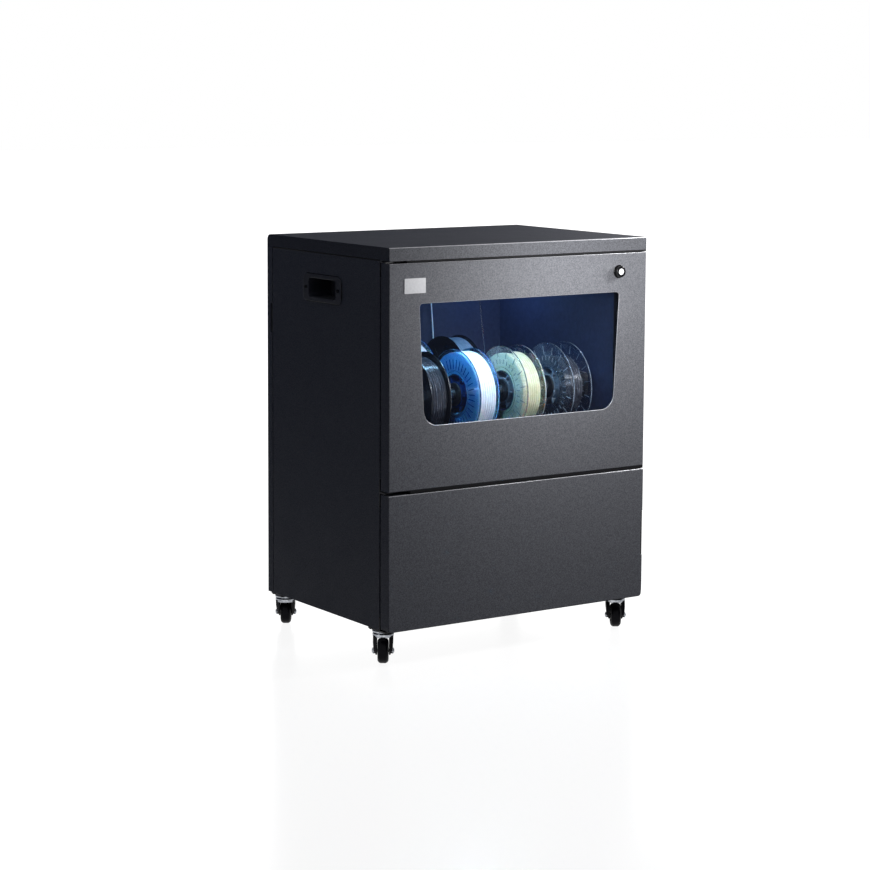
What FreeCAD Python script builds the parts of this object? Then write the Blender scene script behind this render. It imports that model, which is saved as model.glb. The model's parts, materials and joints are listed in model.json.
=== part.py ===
import FreeCAD, Part
import math
import os
import re

import Sketcher
from FreeCAD import Placement, Rotation, Vector

# A wheeled dry cabinet for filament reels, in millimetres. +Z is up, the front faces -Y, and the
# origin lies on the floor under the middle of the body. Heights along the body are measured up
# from its underside, and depths back from the front of the doors.

SIZES = {
    # cabinet shell
    "width": 690,
    "depth": 509,
    "body_height": 824,
    "caster_height": 76,
    "sheet": 1.2,
    "side_flange": 20,
    "seam": 6,
    "rear_return": 22,
    "rear_seam": 2,
    "post_width": 20,
    "post_wall": 1.5,
    "notch_bottom": 602,
    "notch_height": 66,
    "notch_depth": 8,
    "base_sheet": 1.5,
    "base_flange": 30,
    "cut_past": 1,
    # top cover
    "lid_height": 28.5,
    "lid_wall": 1.5,
    "lid_gap": 5.5,
    "lid_rear_radius": 12,
    "lid_front_radius": 2.5,
    # front frame and shelf
    "frame_sheet": 1.5,
    "shelf_height": 302,
    "shelf_flange": 15,
    "opening_bottom": 330,
    "opening_top": 728,
    "bay_inset": 30,
    "bay_bottom": 20,
    "bay_top": 280,
    # drying chamber
    "chamber_inset": 62,
    "chamber_rear_gap": 29,
    "chamber_top": 766,
    "vent_size": 70,
    "vent_slots": 6,
    "vent_slot": 6,
    # doors
    "door_depth": 31,
    "door_gap": 8,
    "lower_door_height": 296,
    "lower_corner_radius": 8,
    "liner_sheet": 1.5,
    "liner_margin": 25,
    "access_width": 240,
    "access_height": 120,
    "access_radius": 20,
    "window_half_top": 268.6,
    "window_half_bottom": 254.8,
    "window_top": 703,
    "window_bottom": 440.4,
    "window_top_radius": 8,
    "window_bottom_radius": 35,
    "pane_thickness": 4,
    "pane_lap": 15,
    "badge_from_left": 37.5,
    "badge_bottom": 725.5,
    "badge_width": 54.2,
    "badge_height": 32.3,
    "badge_thickness": 1,
    "badge_radius": 1.5,
    "gasket_inset": 38,
    "gasket_width": 10,
    "gasket_edge_bottom": 4,
    "gasket_edge_top": 14,
    "gasket_radius": 12,
    "gasket_gap": 0.3,
    # door pivots
    "pivot_from_left": 9,
    "pivot_from_front": 24,
    "pivot_pin_radius": 3,
    "pivot_pin_reach": 6,
    "pivot_clearance": 0.05,
    "pivot_play": 0.3,
    "pivot_plate": 3,
    "pivot_tab": 1.4,
    "pivot_tab_height": 30,
    "pivot_width": 18,
    "pivot_overlap": 10,
    # latch
    "knob_from_right": 78.4,
    "knob_height": 749,
    "knob_radius": 13,
    "knob_reach": 9.5,
    "knob_tail": 8,
    "knob_chamfer": 1.2,
    "knob_travel": 6,
    "knob_room": 4,
    "knob_clearance": 0.1,
    "cap_radius": 7,
    "cap_thickness": 1.5,
    "bezel_radius": 15,
    "bezel_thickness": 2,
    "bezel_wall": 0.8,
    "latch_half_width": 22,
    "latch_below": 16,
    "latch_above": 18,
    "latch_end_gap": 0.5,
    "bolt_half_width": 5,
    "bolt_wall": 2,
    "bolt_block": 6.5,
    "bolt_block_below": 13,
    "bolt_block_above": 1,
    "bolt_shank_below": 11,
    "bolt_shank": 6,
    "bolt_play": 2.3,
    "bolt_head": 4,
    "bolt_head_above": 3,
    "bolt_lift": 7,
    "bolt_clearance": 0.3,
    "latch_hole_room": 3,
    # finger pull and magnets of the lower door
    "pull_bottom": 97,
    "pull_top": 199,
    "pull_notch": 4.5,
    "pull_width": 34,
    "pull_wall": 2,
    "pull_depth": 25,
    "magnet_from_right": 120,
    "magnet_length": 40,
    "magnet_height": 8,
    "magnet_drop": 10,
    "magnet_step": 180,
    # side handles
    "handle_from_front": 266.75,
    "handle_below_lid": 77.5,
    "handle_length": 157,
    "handle_tall": 60,
    "handle_radius": 13,
    "handle_flange": 3,
    "pocket_length": 113,
    "pocket_tall": 43,
    "pocket_radius": 9,
    "pocket_depth": 56,
    "cup_wall": 2,
    "cup_clearance": 0.3,
    "handle_screw_spacing": 134,
    # screws
    "screw_radius": 2,
    "screw_head_radius": 4,
    "screw_head": 2,
    "screw_clearance": 0.1,
    "rear_screw_inset": 11,
    "rear_screw_rows": 4,
    # reels, rods and sleeves
    "reel_radius": 100,
    "reel_width": 52,
    "reel_flange": 3,
    "reel_bore": 26,
    "reel_hub": 45,
    "reel_windows": 6,
    "reel_spoke": 6,
    "reel_ring": 3.5,
    "column_pitch": 127.7,
    "column_shift": 8,
    "front_rod": 140,
    "rear_rod": 374,
    "rod_height": 481,
    "rod_radius": 12.5,
    "rod_wall": 2.5,
    "rod_end_gap": 1,
    "snug_fit": 0.05,
    "sleeve_length": 60,
    "sleeve_clearance": 0.1,
    "bracket_thickness": 12,
    "bracket_width": 44,
    "bracket_height": 56,
    "bracket_radius": 10,
    "filament_diameter": 2.85,
    "winding_gap": 0.45,
    "winding_end_gap": 0.6,
    "core_gap": 0.1,
    "winding_1": 90,
    "winding_2": 94,
    "winding_3": 85,
    "winding_4": 72,
    "winding_5": 93,
    "winding_6": 95,
    # filament outlets and strands
    "outlet_radius": 4.5,
    "outlet_flange_radius": 8,
    "outlet_flange": 3,
    "outlet_bore": 2.2,
    "outlet_reach": 8,
    "front_outlet_shift": 40,
    "rear_outlet_shift": 5,
    "strand_gap": 0.4,
    "strand_start_front": -6,
    "strand_start_rear": 17,
    "strand_rise": 166,
    "strand_lean_front": -20,
    "strand_lean_rear": 7,
    "strand_turn": 24,
    # light bar, sensor, dryer and electrics
    "light_length": 500,
    "light_from_front": 62,
    "light_width": 26,
    "light_height": 12,
    "light_slope": 5,
    "sensor_from_side": 39,
    "sensor_height": 312,
    "sensor_width": 44,
    "sensor_tall": 26,
    "sensor_depth": 12,
    "sensor_slots": 4,
    "sensor_slot": 2.5,
    "dryer_width": 140,
    "dryer_depth": 110,
    "dryer_height": 86,
    "dryer_from_front": 390,
    "fan_size": 80,
    "fan_thickness": 25,
    "fan_bore": 38,
    "fan_hub": 16,
    "fan_strut": 4,
    "fan_base": 4,
    "fan_blades": 7,
    "fan_tip_gap": 1.5,
    "fan_blade": 2,
    "fan_blade_rise": 12,
    "fan_blade_sweep": 10,
    "fan_play": 1,
    "fan_pin": 2.5,
    "fan_pin_reach": 12,
    "fan_pin_clearance": 0.05,
    "heater_size": 70,
    "heater_height": 30,
    "heater_plate": 5,
    "heater_fin": 1.5,
    "heater_fins": 12,
    "board_width": 120,
    "board_height": 80,
    "board_thickness": 1.6,
    "board_standoff": 6,
    "board_standoff_radius": 3,
    "board_from_left": 90,
    "board_bottom": 60,
    "board_parts": 3,
    "board_part_width": 24,
    "board_part_height": 20,
    "board_part_depth": 12,
    "board_part_pitch": 32,
    "board_part_inset": 16,
    "board_part_rise": 40,
    "inlet_from_right": 130,
    "inlet_height": 110,
    "inlet_width": 48,
    "inlet_tall": 28,
    "inlet_lip": 5,
    "inlet_flange": 2,
    "inlet_depth": 20,
    "inlet_recess": 14,
    "inlet_wall": 3,
    "rear_vents": 8,
    "rear_vent_length": 120,
    "rear_vent_height": 5,
    "rear_vent_pitch": 14,
    "rear_vent_bottom": 150,
    # casters
    "caster_side": 27,
    "caster_front": 62,
    "caster_rear": 32,
    "front_yaw": -33.8,
    "rear_yaw": 146.2,
    "caster_trail": 15,
    "caster_plate": 50,
    "caster_plate_thickness": 4,
    "caster_plate_radius": 5,
    "caster_screw_spacing": 38,
    "race_radius": 21,
    "race_height": 6,
    "fork_race_radius": 19,
    "fork_race_height": 5.7,
    "race_gap": 0.3,
    "kingpin_radius": 5,
    "kingpin_clearance": 0.1,
    "kingpin_head_radius": 7,
    "kingpin_head": 1.4,
    "fork_crown": 2.5,
    "fork_leg": 2.5,
    "fork_gap": 27.5,
    "fork_half_length": 17,
    "fork_foot": 9,
    "wheel_radius": 27.5,
    "wheel_width": 24,
    "wheel_hub_radius": 10,
    "wheel_dish_radius": 19,
    "wheel_dish": 2.5,
    "tread_radius": 8,
    "axle_radius": 4,
    "axle_clearance": 0.1,
    "axle_fit": 0.05,
    "nut_radius": 6.5,
    "nut_height": 4.5,
}

# Places that several pieces share, as formulas of the sizes
LEFT = "(-width / 2)"
RIGHT = "(width / 2)"
FRONT = "(-depth / 2)"
BACK = "(depth / 2)"
BASE = "caster_height"
LID_UNDER = "(caster_height + body_height - lid_height)"
UPPER_TOP = f"({LID_UNDER} - lid_gap)"
UPPER_BOTTOM = "(caster_height + lower_door_height + door_gap)"
LOWER_TOP = "(caster_height + lower_door_height)"
DOOR_BACK = f"({FRONT} + door_depth)"
SIDE_FRONT = f"({DOOR_BACK} + seam)"
SIDE_BACK = f"({BACK} - rear_return - rear_seam)"
FRAME_FRONT = f"({SIDE_FRONT} + sheet)"
FRAME_BACK = f"({FRAME_FRONT} + frame_sheet)"
INNER_BACK = f"({SIDE_BACK} - sheet)"
SHELF_TOP = "(caster_height + shelf_height)"
CHAMBER_LEFT = f"({LEFT} + chamber_inset)"
CHAMBER_RIGHT = f"({RIGHT} - chamber_inset)"
CHAMBER_BACK = f"({BACK} - chamber_rear_gap)"
CEILING = "(caster_height + chamber_top)"
KNOB_X = f"({RIGHT} - knob_from_right)"
KNOB_Z = "(caster_height + knob_height)"
KNOB_BORE_END = f"({FRONT} + knob_tail + knob_travel + knob_room)"
BOLT_START = f"({KNOB_BORE_END} + bolt_wall)"
BOLT_TIP = f"({FRAME_BACK} + bolt_play + bolt_head)"
LATCH_BACK = f"({BOLT_START} + bolt_block + latch_end_gap)"
PIVOT_X = f"({LEFT} + pivot_from_left)"
PIVOT_Y = f"({FRONT} + pivot_from_front)"
HANDLE_Y = f"({FRONT} + handle_from_front)"
HANDLE_Z = f"({LID_UNDER} - handle_below_lid)"
ROD_Z = "(caster_height + rod_height)"
ROD_Y = {"front": f"({FRONT} + front_rod)", "rear": f"({FRONT} + rear_rod)"}
DRYER_Y = f"({FRONT} + dryer_from_front)"
DRYER_BOTTOM = f"({SHELF_TOP} - sheet - dryer_height)"
FAN_BOTTOM = f"({DRYER_BOTTOM} + sheet)"
INLET_X = f"({RIGHT} - inlet_from_right)"
INLET_Z = "(caster_height + inlet_height)"
COLUMNS = 4

# Points on each stretch of a winding where its gap is measured, and how much of the shorter of
# two runs the arc between them takes up
GAP_POINTS = 12
ARC_SHARE = 0.45

# Reel number: its column from the left and its rod
REELS = {
    1: (0, "front"),
    2: (1, "front"),
    3: (2, "front"),
    4: (3, "front"),
    5: (1, "rear"),
    6: (2, "rear"),
}

# Caster name: where its kingpin stands and the yaw that it rests at
CASTERS = {
    "front_left": (f"({LEFT} + caster_side)", f"({FRONT} + caster_front)", "front_yaw"),
    "front_right": (f"({RIGHT} - caster_side)", f"({FRONT} + caster_front)", "front_yaw"),
    "rear_left": (f"({LEFT} + caster_side)", f"({BACK} - caster_rear)", "rear_yaw"),
    "rear_right": (f"({RIGHT} - caster_side)", f"({BACK} - caster_rear)", "rear_yaw"),
}

# Turns that carry a cylinder's own axis, +Z, to another axis
TURN = {
    "x": Rotation(Vector(0, 1, 0), 90),
    "y": Rotation(Vector(1, 0, 0), -90),
    "z": Rotation(),
}

doc = FreeCAD.newDocument("dry_cabinet")
dims = doc.addObject("Spreadsheet::Sheet", "dims")
for row, (alias, number) in enumerate(SIZES.items(), start=1):
    dims.set(f"A{row}", alias)
    dims.set(f"B{row}", str(number))
    dims.setAlias(f"B{row}", alias)
doc.recompute()

PARTS = {}


def size(alias):
    """A driving dimension as a number, read from the sheet."""
    return float(dims.get(alias))


def bind(thing, path, formula):
    """Ties one property of an object to a formula of the sheet's sizes."""
    words = re.sub(
        r"[a-z][a-z_0-9]*",
        lambda word: f"dims.{word.group()}" if word.group() in SIZES else word.group(),
        str(formula),
    )
    thing.setExpression(path, words)


def place(thing, x, y, z, turn=None):
    """Puts an object at a point given by three formulas, after an optional turn."""
    if turn:
        thing.Placement = Placement(Vector(), turn)
    bind(thing, "Placement.Base.x", x)
    bind(thing, "Placement.Base.y", y)
    bind(thing, "Placement.Base.z", z)
    return thing


def box(name, x, y, z, along_x, along_y, along_z):
    """A block from its low corner and its three sides."""
    solid = doc.addObject("Part::Box", name)
    bind(solid, "Length", along_x)
    bind(solid, "Width", along_y)
    bind(solid, "Height", along_z)
    return place(solid, x, y, z)


def block(name, x, y, z):
    """A block between three pairs of limits."""
    sides = [f"({high}) - ({low})" for low, high in (x, y, z)]
    return box(name, x[0], y[0], z[0], *sides)


def rod(name, axis, x, y, z, radius, length):
    """A cylinder that runs from a point along +X, +Y or +Z."""
    solid = doc.addObject("Part::Cylinder", name)
    bind(solid, "Radius", radius)
    bind(solid, "Height", length)
    return place(solid, x, y, z, TURN[axis])


def fuse(name, *solids):
    joined = doc.addObject("Part::MultiFuse", name)
    joined.Shapes = list(solids)
    joined.Refine = True
    return joined


def group(name, solids):
    """Separate solids that share one node."""
    several = doc.addObject("Part::Compound", name)
    several.Links = list(solids)
    return several


def cut(name, solid, *tools):
    """Takes the tools away from a solid."""
    tool = tools[0] if len(tools) == 1 else group(f"{name}_tools", tools)
    rest = doc.addObject("Part::Cut", name)
    rest.Base = solid
    rest.Tool = tool
    return rest


def sketch_on(body, plane, corners):
    """A closed outline on one of a body's own planes, with each corner tied to two formulas."""
    sketch = body.newObject("Sketcher::SketchObject", f"{body.Name}_outline")
    support = [each for each in body.Origin.OriginFeatures if each.Role == f"{plane}_Plane"]
    sketch.AttachmentSupport = [(support[0], "")]
    sketch.MapMode = "FlatFace"
    count = len(corners)
    turns = [2 * math.pi * k / count for k in range(count)]
    rough = [Vector(math.cos(turn), math.sin(turn), 0) for turn in turns]
    for k in range(count):
        sketch.addGeometry(Part.LineSegment(rough[k], rough[(k + 1) % count]))
    for k in range(count):
        sketch.addConstraint(Sketcher.Constraint("Coincident", k, 2, (k + 1) % count, 1))
    for k, corner in enumerate(corners):
        for kind, rough_value, formula in zip(("DistanceX", "DistanceY"), rough[k], corner):
            number = sketch.addConstraint(Sketcher.Constraint(kind, k, 1, rough_value))
            bind(sketch, f"Constraints[{number}]", formula)
    return sketch


def circle_on(body, plane, radius):
    """A circle about the origin of one of a body's own planes."""
    sketch = body.newObject("Sketcher::SketchObject", f"{body.Name}_circle")
    support = [each for each in body.Origin.OriginFeatures if each.Role == f"{plane}_Plane"]
    sketch.AttachmentSupport = [(support[0], "")]
    sketch.MapMode = "FlatFace"
    sketch.addGeometry(Part.Circle(Vector(), Vector(0, 0, 1), 1))
    sketch.addConstraint(Sketcher.Constraint("Coincident", 0, 3, -1, 1))
    number = sketch.addConstraint(Sketcher.Constraint("Radius", 0, 1))
    bind(sketch, f"Constraints[{number}]", radius)
    return sketch


def pad_of(body, sketch, plane, length):
    """Pads an outline along +X, +Y or +Z."""
    pad = body.newObject("PartDesign::Pad", f"{body.Name}_pad")
    pad.Profile = sketch
    pad.Reversed = plane == "XZ"
    bind(pad, "Length", length)
    return pad


def plate(name, plane, corners, length, at, radii=None):
    """A padded outline whose corners, by number, may be rounded."""
    body = doc.addObject("PartDesign::Body", name)
    sketch = sketch_on(body, plane, corners)
    feature = pad_of(body, sketch, plane, length)
    doc.recompute()
    first, second = {"XY": (0, 1), "XZ": (0, 2), "YZ": (1, 2)}[plane]
    for radius in dict.fromkeys((radii or {}).values()):
        spots = [sketch.Geometry[k].StartPoint for k in radii if radii[k] == radius]
        edges = []
        for number, edge in enumerate(feature.Shape.Edges, start=1):
            ends = [vertex.Point for vertex in edge.Vertexes]
            for spot in spots:
                away = max(math.hypot(end[first] - spot.x, end[second] - spot.y) for end in ends)
                if away < 1e-6:
                    edges.append(f"Edge{number}")
        rounding = body.newObject("PartDesign::Fillet", f"{name}_round")
        rounding.Base = (feature, edges)
        bind(rounding, "Radius", radius)
        doc.recompute()
        feature = rounding
    return place(body, *at)


def slab(name, plane, across, up, length, at, radius):
    """A rounded rectangle, centred on its place, padded along the third axis."""
    half, rise = f"({across}) / 2", f"({up}) / 2"
    corners = [(f"-{half}", f"-{rise}"), (half, f"-{rise}"), (half, rise), (f"-{half}", rise)]
    return plate(name, plane, corners, length, at, dict.fromkeys(range(4), radius))


def turned(name, profile):
    """A body turned about its own Z from an outline of radius and height."""
    body = doc.addObject("PartDesign::Body", name)
    sketch = sketch_on(body, "XZ", profile)
    turning = body.newObject("PartDesign::Revolution", f"{name}_turning")
    turning.Profile = sketch
    turning.ReferenceAxis = (sketch, ["V_Axis"])
    turning.Angle = 360
    doc.recompute()
    return body


def keep(label, thing):
    """Names a finished sub-part."""
    thing.Label = label
    PARTS[label] = thing
    return thing


def top_cover():
    """Folded cover whose rear top edge is rounded, open underneath."""
    outer = plate(
        "cover_outer", "YZ",
        [("0", "0"), ("depth", "0"), ("depth", "lid_height"), ("0", "lid_height")],
        "width", (LEFT, FRONT, LID_UNDER), {2: "lid_rear_radius", 3: "lid_front_radius"},
    )
    inside = "lid_height - lid_wall"
    inner = plate(
        "cover_inner", "YZ",
        [("lid_wall", "-cut_past"), ("depth - lid_wall", "-cut_past"),
         ("depth - lid_wall", inside), ("lid_wall", inside)],
        "width - 2 * lid_wall", (f"{LEFT} + lid_wall", FRONT, LID_UNDER),
        {2: "lid_rear_radius - lid_wall", 3: "lid_front_radius - lid_wall"},
    )
    keep("top_cover", cut("cover", outer, inner))


def handle_screw_places():
    """Where the screws of one side handle stand: y and z."""
    return [(f"{HANDLE_Y} {sign} handle_screw_spacing / 2", HANDLE_Z) for sign in "-+"]


def side_panel(side):
    """Folded side with front, rear and top flanges and the cut-out for its handle."""
    panel = f"{side}_side"
    left = side == "left"
    high = (BASE, LID_UNDER)
    outer_x = (LEFT, f"{LEFT} + side_flange") if left else (f"{RIGHT} - side_flange", RIGHT)
    inner_x = (
        (f"{LEFT} + sheet", f"{LEFT} + side_flange + cut_past") if left
        else (f"{RIGHT} - side_flange - cut_past", f"{RIGHT} - sheet")
    )
    outer = block(f"{panel}_outer", outer_x, (SIDE_FRONT, SIDE_BACK), high)
    inner = block(
        f"{panel}_inner", inner_x, (f"{SIDE_FRONT} + sheet", INNER_BACK),
        (f"{BASE} - cut_past", f"{LID_UNDER} - sheet"),
    )
    start = f"{LEFT} - cut_past" if left else f"{RIGHT} - sheet - cut_past"
    hole = slab(
        f"{panel}_hole", "YZ", "pocket_length + 2 * (cup_wall + cup_clearance)",
        "pocket_tall + 2 * (cup_wall + cup_clearance)", "sheet + 2 * cut_past",
        (start, HANDLE_Y, HANDLE_Z), "pocket_radius + cup_wall + cup_clearance",
    )
    screw_holes = [
        rod(f"{panel}_screw_hole", "x", start, y, z, "screw_radius + screw_clearance", "sheet + 2 * cut_past")
        for y, z in handle_screw_places()
    ]
    keep(f"{side}_side_panel", cut(panel, outer, inner, hole, *screw_holes))


def handle_cup(side):
    """Recessed handle: a raised flange round a deep pocket."""
    cup = f"{side}_cup"
    left = side == "left"
    flange_x = f"{LEFT} - handle_flange" if left else RIGHT
    cup_x = LEFT if left else f"{RIGHT} - pocket_depth - cup_wall"
    pocket_x = f"{LEFT} - handle_flange - cut_past" if left else f"{RIGHT} - pocket_depth"
    flange = slab(
        f"{cup}_flange", "YZ", "handle_length", "handle_tall", "handle_flange",
        (flange_x, HANDLE_Y, HANDLE_Z), "handle_radius",
    )
    shell = slab(
        f"{cup}_shell", "YZ", "pocket_length + 2 * cup_wall", "pocket_tall + 2 * cup_wall",
        "pocket_depth + cup_wall", (cup_x, HANDLE_Y, HANDLE_Z), "pocket_radius + cup_wall",
    )
    pocket = slab(
        f"{cup}_pocket", "YZ", "pocket_length", "pocket_tall",
        "pocket_depth + handle_flange + cut_past", (pocket_x, HANDLE_Y, HANDLE_Z), "pocket_radius",
    )
    holes = [
        rod(f"{cup}_hole", "x", flange_x, y, z, "screw_radius + screw_clearance", "handle_flange")
        for y, z in handle_screw_places()
    ]
    keep(f"{side}_handle_cup", cut(cup, fuse(f"{cup}_body", flange, shell), pocket, *holes))


def rear_screw_places():
    """Where the rear panel's screws stand: x and z, in two columns."""
    places = []
    for x in (f"{LEFT} + rear_screw_inset", f"{RIGHT} - rear_screw_inset"):
        for row in range(int(size("rear_screw_rows"))):
            step = f"(body_height - lid_height) * {2 * row + 1} / (2 * rear_screw_rows)"
            places.append((x, f"{BASE} + {step}"))
    return places


def caster_screw_places(x, y):
    """Where the four screws of one caster plate stand."""
    half = "caster_screw_spacing / 2"
    return [(f"{x} {across} {half}", f"{y} {along} {half}") for across in "-+" for along in "-+"]


def caster_screw_holes(name, thickness):
    """Holes for the screws of every caster through the cabinet's underside."""
    return [
        rod(name, "z", across, along, f"{BASE} - cut_past", "screw_radius + screw_clearance",
            f"{thickness} + 2 * cut_past")
        for x, y, _ in CASTERS.values()
        for across, along in caster_screw_places(x, y)
    ]


def rear_panel():
    """Pan with forward returns, air slots, the inlet's cut-out and a notch in its left return."""
    low = f"{BACK} - rear_return"
    outer = block("rear_outer", (LEFT, RIGHT), (low, BACK), (BASE, LID_UNDER))
    inner = block(
        "rear_inner", (f"{LEFT} + sheet", f"{RIGHT} - sheet"), (f"{low} - cut_past", f"{BACK} - sheet"),
        (f"{BASE} + sheet", f"{LID_UNDER} - sheet"),
    )
    notch = box(
        "rear_notch", f"{LEFT} - cut_past", f"{low} - cut_past", f"{BASE} + notch_bottom",
        "sheet + 2 * cut_past", "notch_depth + cut_past", "notch_height",
    )
    through = (f"{BACK} - sheet - cut_past", "sheet + 2 * cut_past")
    tools = [inner, notch]
    for k in range(int(size("rear_vents"))):
        height = f"{BASE} + rear_vent_bottom + {k} * rear_vent_pitch"
        tools.append(box(
            "rear_slot", "-rear_vent_length / 2", through[0], height,
            "rear_vent_length", through[1], "rear_vent_height",
        ))
    tools.append(box(
        "inlet_hole", f"{INLET_X} - inlet_width / 2", through[0], f"{INLET_Z} - inlet_tall / 2",
        "inlet_width", through[1], "inlet_tall",
    ))
    for x, z in rear_screw_places():
        tools.append(rod(
            "rear_hole", "y", x, through[0], z, "screw_radius + screw_clearance", through[1],
        ))
    tools += caster_screw_holes("rear_foot_hole", "sheet")
    keep("rear_panel", cut("rear", outer, *tools))


def rear_posts():
    """Uprights that tie the sides to the rear panel."""
    high = (f"{BASE} + sheet", f"{LID_UNDER} - sheet")
    deep = (SIDE_BACK, f"{BACK} - sheet")
    posts = []
    for low, top in (
        (f"{LEFT} + sheet", f"{LEFT} + sheet + post_width"),
        (f"{RIGHT} - sheet - post_width", f"{RIGHT} - sheet"),
    ):
        outer = block("post_outer", (low, top), deep, high)
        inner = block(
            "post_inner", (f"{low} + post_wall", f"{top} - post_wall"),
            (f"{deep[0]} + post_wall", f"{deep[1]} - post_wall"),
            (f"{high[0]} - cut_past", f"{high[1]} + cut_past"),
        )
        holes = [
            rod("post_hole", "y", x, f"{deep[1]} - post_wall - cut_past", z, "screw_radius + screw_clearance",
                "post_wall + 2 * cut_past")
            for x, z in rear_screw_places()
        ]
        posts.append(cut("post", outer, inner, *holes))
    keep("rear_posts", group("posts", posts))


def base_pan():
    """Folded floor of the cabinet, which the casters are screwed to."""
    wide = (f"{LEFT} + sheet", f"{RIGHT} - sheet")
    outer = block("base_outer", wide, (FRAME_BACK, INNER_BACK), (BASE, f"{BASE} + base_flange"))
    inner = block(
        "base_inner", (f"{wide[0]} + base_sheet", f"{wide[1]} - base_sheet"),
        (f"{FRAME_BACK} + base_sheet", f"{INNER_BACK} - base_sheet"),
        (f"{BASE} + base_sheet", f"{BASE} + base_flange + cut_past"),
    )
    keep("base_pan", cut("base", outer, inner, *caster_screw_holes("base_hole", "base_sheet")))


def mid_shelf():
    """Folded shelf under the drying chamber, with the opening for dry air."""
    wide = (f"{LEFT} + sheet", f"{RIGHT} - sheet")
    low = f"{SHELF_TOP} - shelf_flange"
    outer = block("shelf_outer", wide, (FRAME_BACK, INNER_BACK), (low, SHELF_TOP))
    inner = block(
        "shelf_inner", (f"{wide[0]} + sheet", f"{wide[1]} - sheet"),
        (f"{FRAME_BACK} + sheet", f"{INNER_BACK} - sheet"), (f"{low} - cut_past", f"{SHELF_TOP} - sheet"),
    )
    vent = box(
        "shelf_vent", "-vent_size / 2", f"{DRYER_Y} - vent_size / 2", f"{SHELF_TOP} - sheet - cut_past",
        "vent_size", "vent_size", "sheet + 2 * cut_past",
    )
    keep("mid_shelf", cut("shelf", outer, inner, vent))


def column_x(column):
    """The middle of a column of reels, across the cabinet."""
    return f"(column_shift + ({column} - {(COLUMNS - 1) / 2}) * column_pitch)"


def strand_y(row, reel):
    """How far back a strand leaves its reel: just clear of the outermost turns."""
    return f"({ROD_Y[row]} + winding_{reel} + strand_gap + filament_diameter / 2)"


def outlet_places():
    """Where filament leaves through the ceiling: x and y, one for each place on the rods."""
    places = []
    for row, reel in (("front", 3), ("rear", 6)):
        for column in range(COLUMNS):
            places.append((f"{column_x(column)} - {row}_outlet_shift", strand_y(row, reel)))
    return places


def chamber_liner():
    """Inner box of the drying chamber, open at the front, with slots for dry air in its floor."""
    outer = block(
        "liner_outer", (f"{CHAMBER_LEFT} - sheet", f"{CHAMBER_RIGHT} + sheet"),
        (FRAME_BACK, f"{CHAMBER_BACK} + sheet"), (SHELF_TOP, f"{CEILING} + sheet"),
    )
    inner = block(
        "liner_inner", (CHAMBER_LEFT, CHAMBER_RIGHT), (f"{FRAME_BACK} - cut_past", CHAMBER_BACK),
        (f"{SHELF_TOP} + sheet", CEILING),
    )
    tools = [inner]
    for k in range(int(size("vent_slots"))):
        middle = f"{DRYER_Y} - vent_size / 2 + vent_size * {2 * k + 1} / (2 * vent_slots)"
        tools.append(box(
            "liner_slot", "-vent_size / 2", f"{middle} - vent_slot / 2", f"{SHELF_TOP} - cut_past",
            "vent_size", "vent_slot", "sheet + 2 * cut_past",
        ))
    for x, y in outlet_places():
        tools.append(rod(
            "outlet_hole", "z", x, y, f"{CEILING} - cut_past", "outlet_radius", "sheet + 2 * cut_past",
        ))
    keep("chamber_liner", cut("liner", outer, *tools))


def latch_hole(name, deep):
    """Opening that the latch bolt passes, at rest and lifted."""
    room = "latch_hole_room"
    return block(
        name, (f"{KNOB_X} - bolt_half_width - {room}", f"{KNOB_X} + bolt_half_width + {room}"), deep,
        (f"{KNOB_Z} - bolt_shank_below - {room}",
         f"{KNOB_Z} - bolt_shank_below + bolt_shank + bolt_lift + {room}"),
    )


def front_frame():
    """Plate behind the doors, with the openings of the chamber and the lower bay."""
    plate_y = (FRAME_FRONT, FRAME_BACK)
    through = (f"{FRAME_FRONT} - cut_past", f"{FRAME_BACK} + cut_past")
    whole = block(
        "frame_plate", (f"{LEFT} + sheet", f"{RIGHT} - sheet"), plate_y, (BASE, f"{LID_UNDER} - sheet"),
    )
    chamber = block(
        "frame_chamber", (CHAMBER_LEFT, CHAMBER_RIGHT), through,
        (f"{BASE} + opening_bottom", f"{BASE} + opening_top"),
    )
    bay = block(
        "frame_bay", (f"{LEFT} + bay_inset", f"{RIGHT} - bay_inset"), through,
        (f"{BASE} + bay_bottom", f"{BASE} + bay_top"),
    )
    keep("front_frame", cut("frame", whole, chamber, bay, latch_hole("frame_latch", through)))


def door_gasket():
    """Rubber seal on the front frame that the upper door closes on."""
    low, high = f"{UPPER_BOTTOM} + gasket_edge_bottom", f"{UPPER_TOP} - gasket_edge_top"
    start = f"{DOOR_BACK} + gasket_gap"
    middle = ("0", start, f"({low} + {high}) / 2")
    across, up = "width - 2 * gasket_inset", f"({high}) - ({low})"
    deep = f"({FRAME_FRONT}) - ({start})"
    outer = slab("gasket_outer", "XZ", across, up, deep, middle, "gasket_radius")
    inner = slab(
        "gasket_inner", "XZ", f"{across} - 2 * gasket_width", f"{up} - 2 * gasket_width", deep, middle,
        "gasket_radius - gasket_width",
    )
    keep("door_gasket", cut("gasket", outer, inner))


def pivot_hole(name, low, high):
    """Hole for a door's two pivot pins, through its bottom and top folds."""
    return rod(
        name, "z", PIVOT_X, PIVOT_Y, f"{low} - cut_past", "pivot_pin_radius + pivot_clearance",
        f"({high}) - ({low}) + 2 * cut_past",
    )


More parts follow.
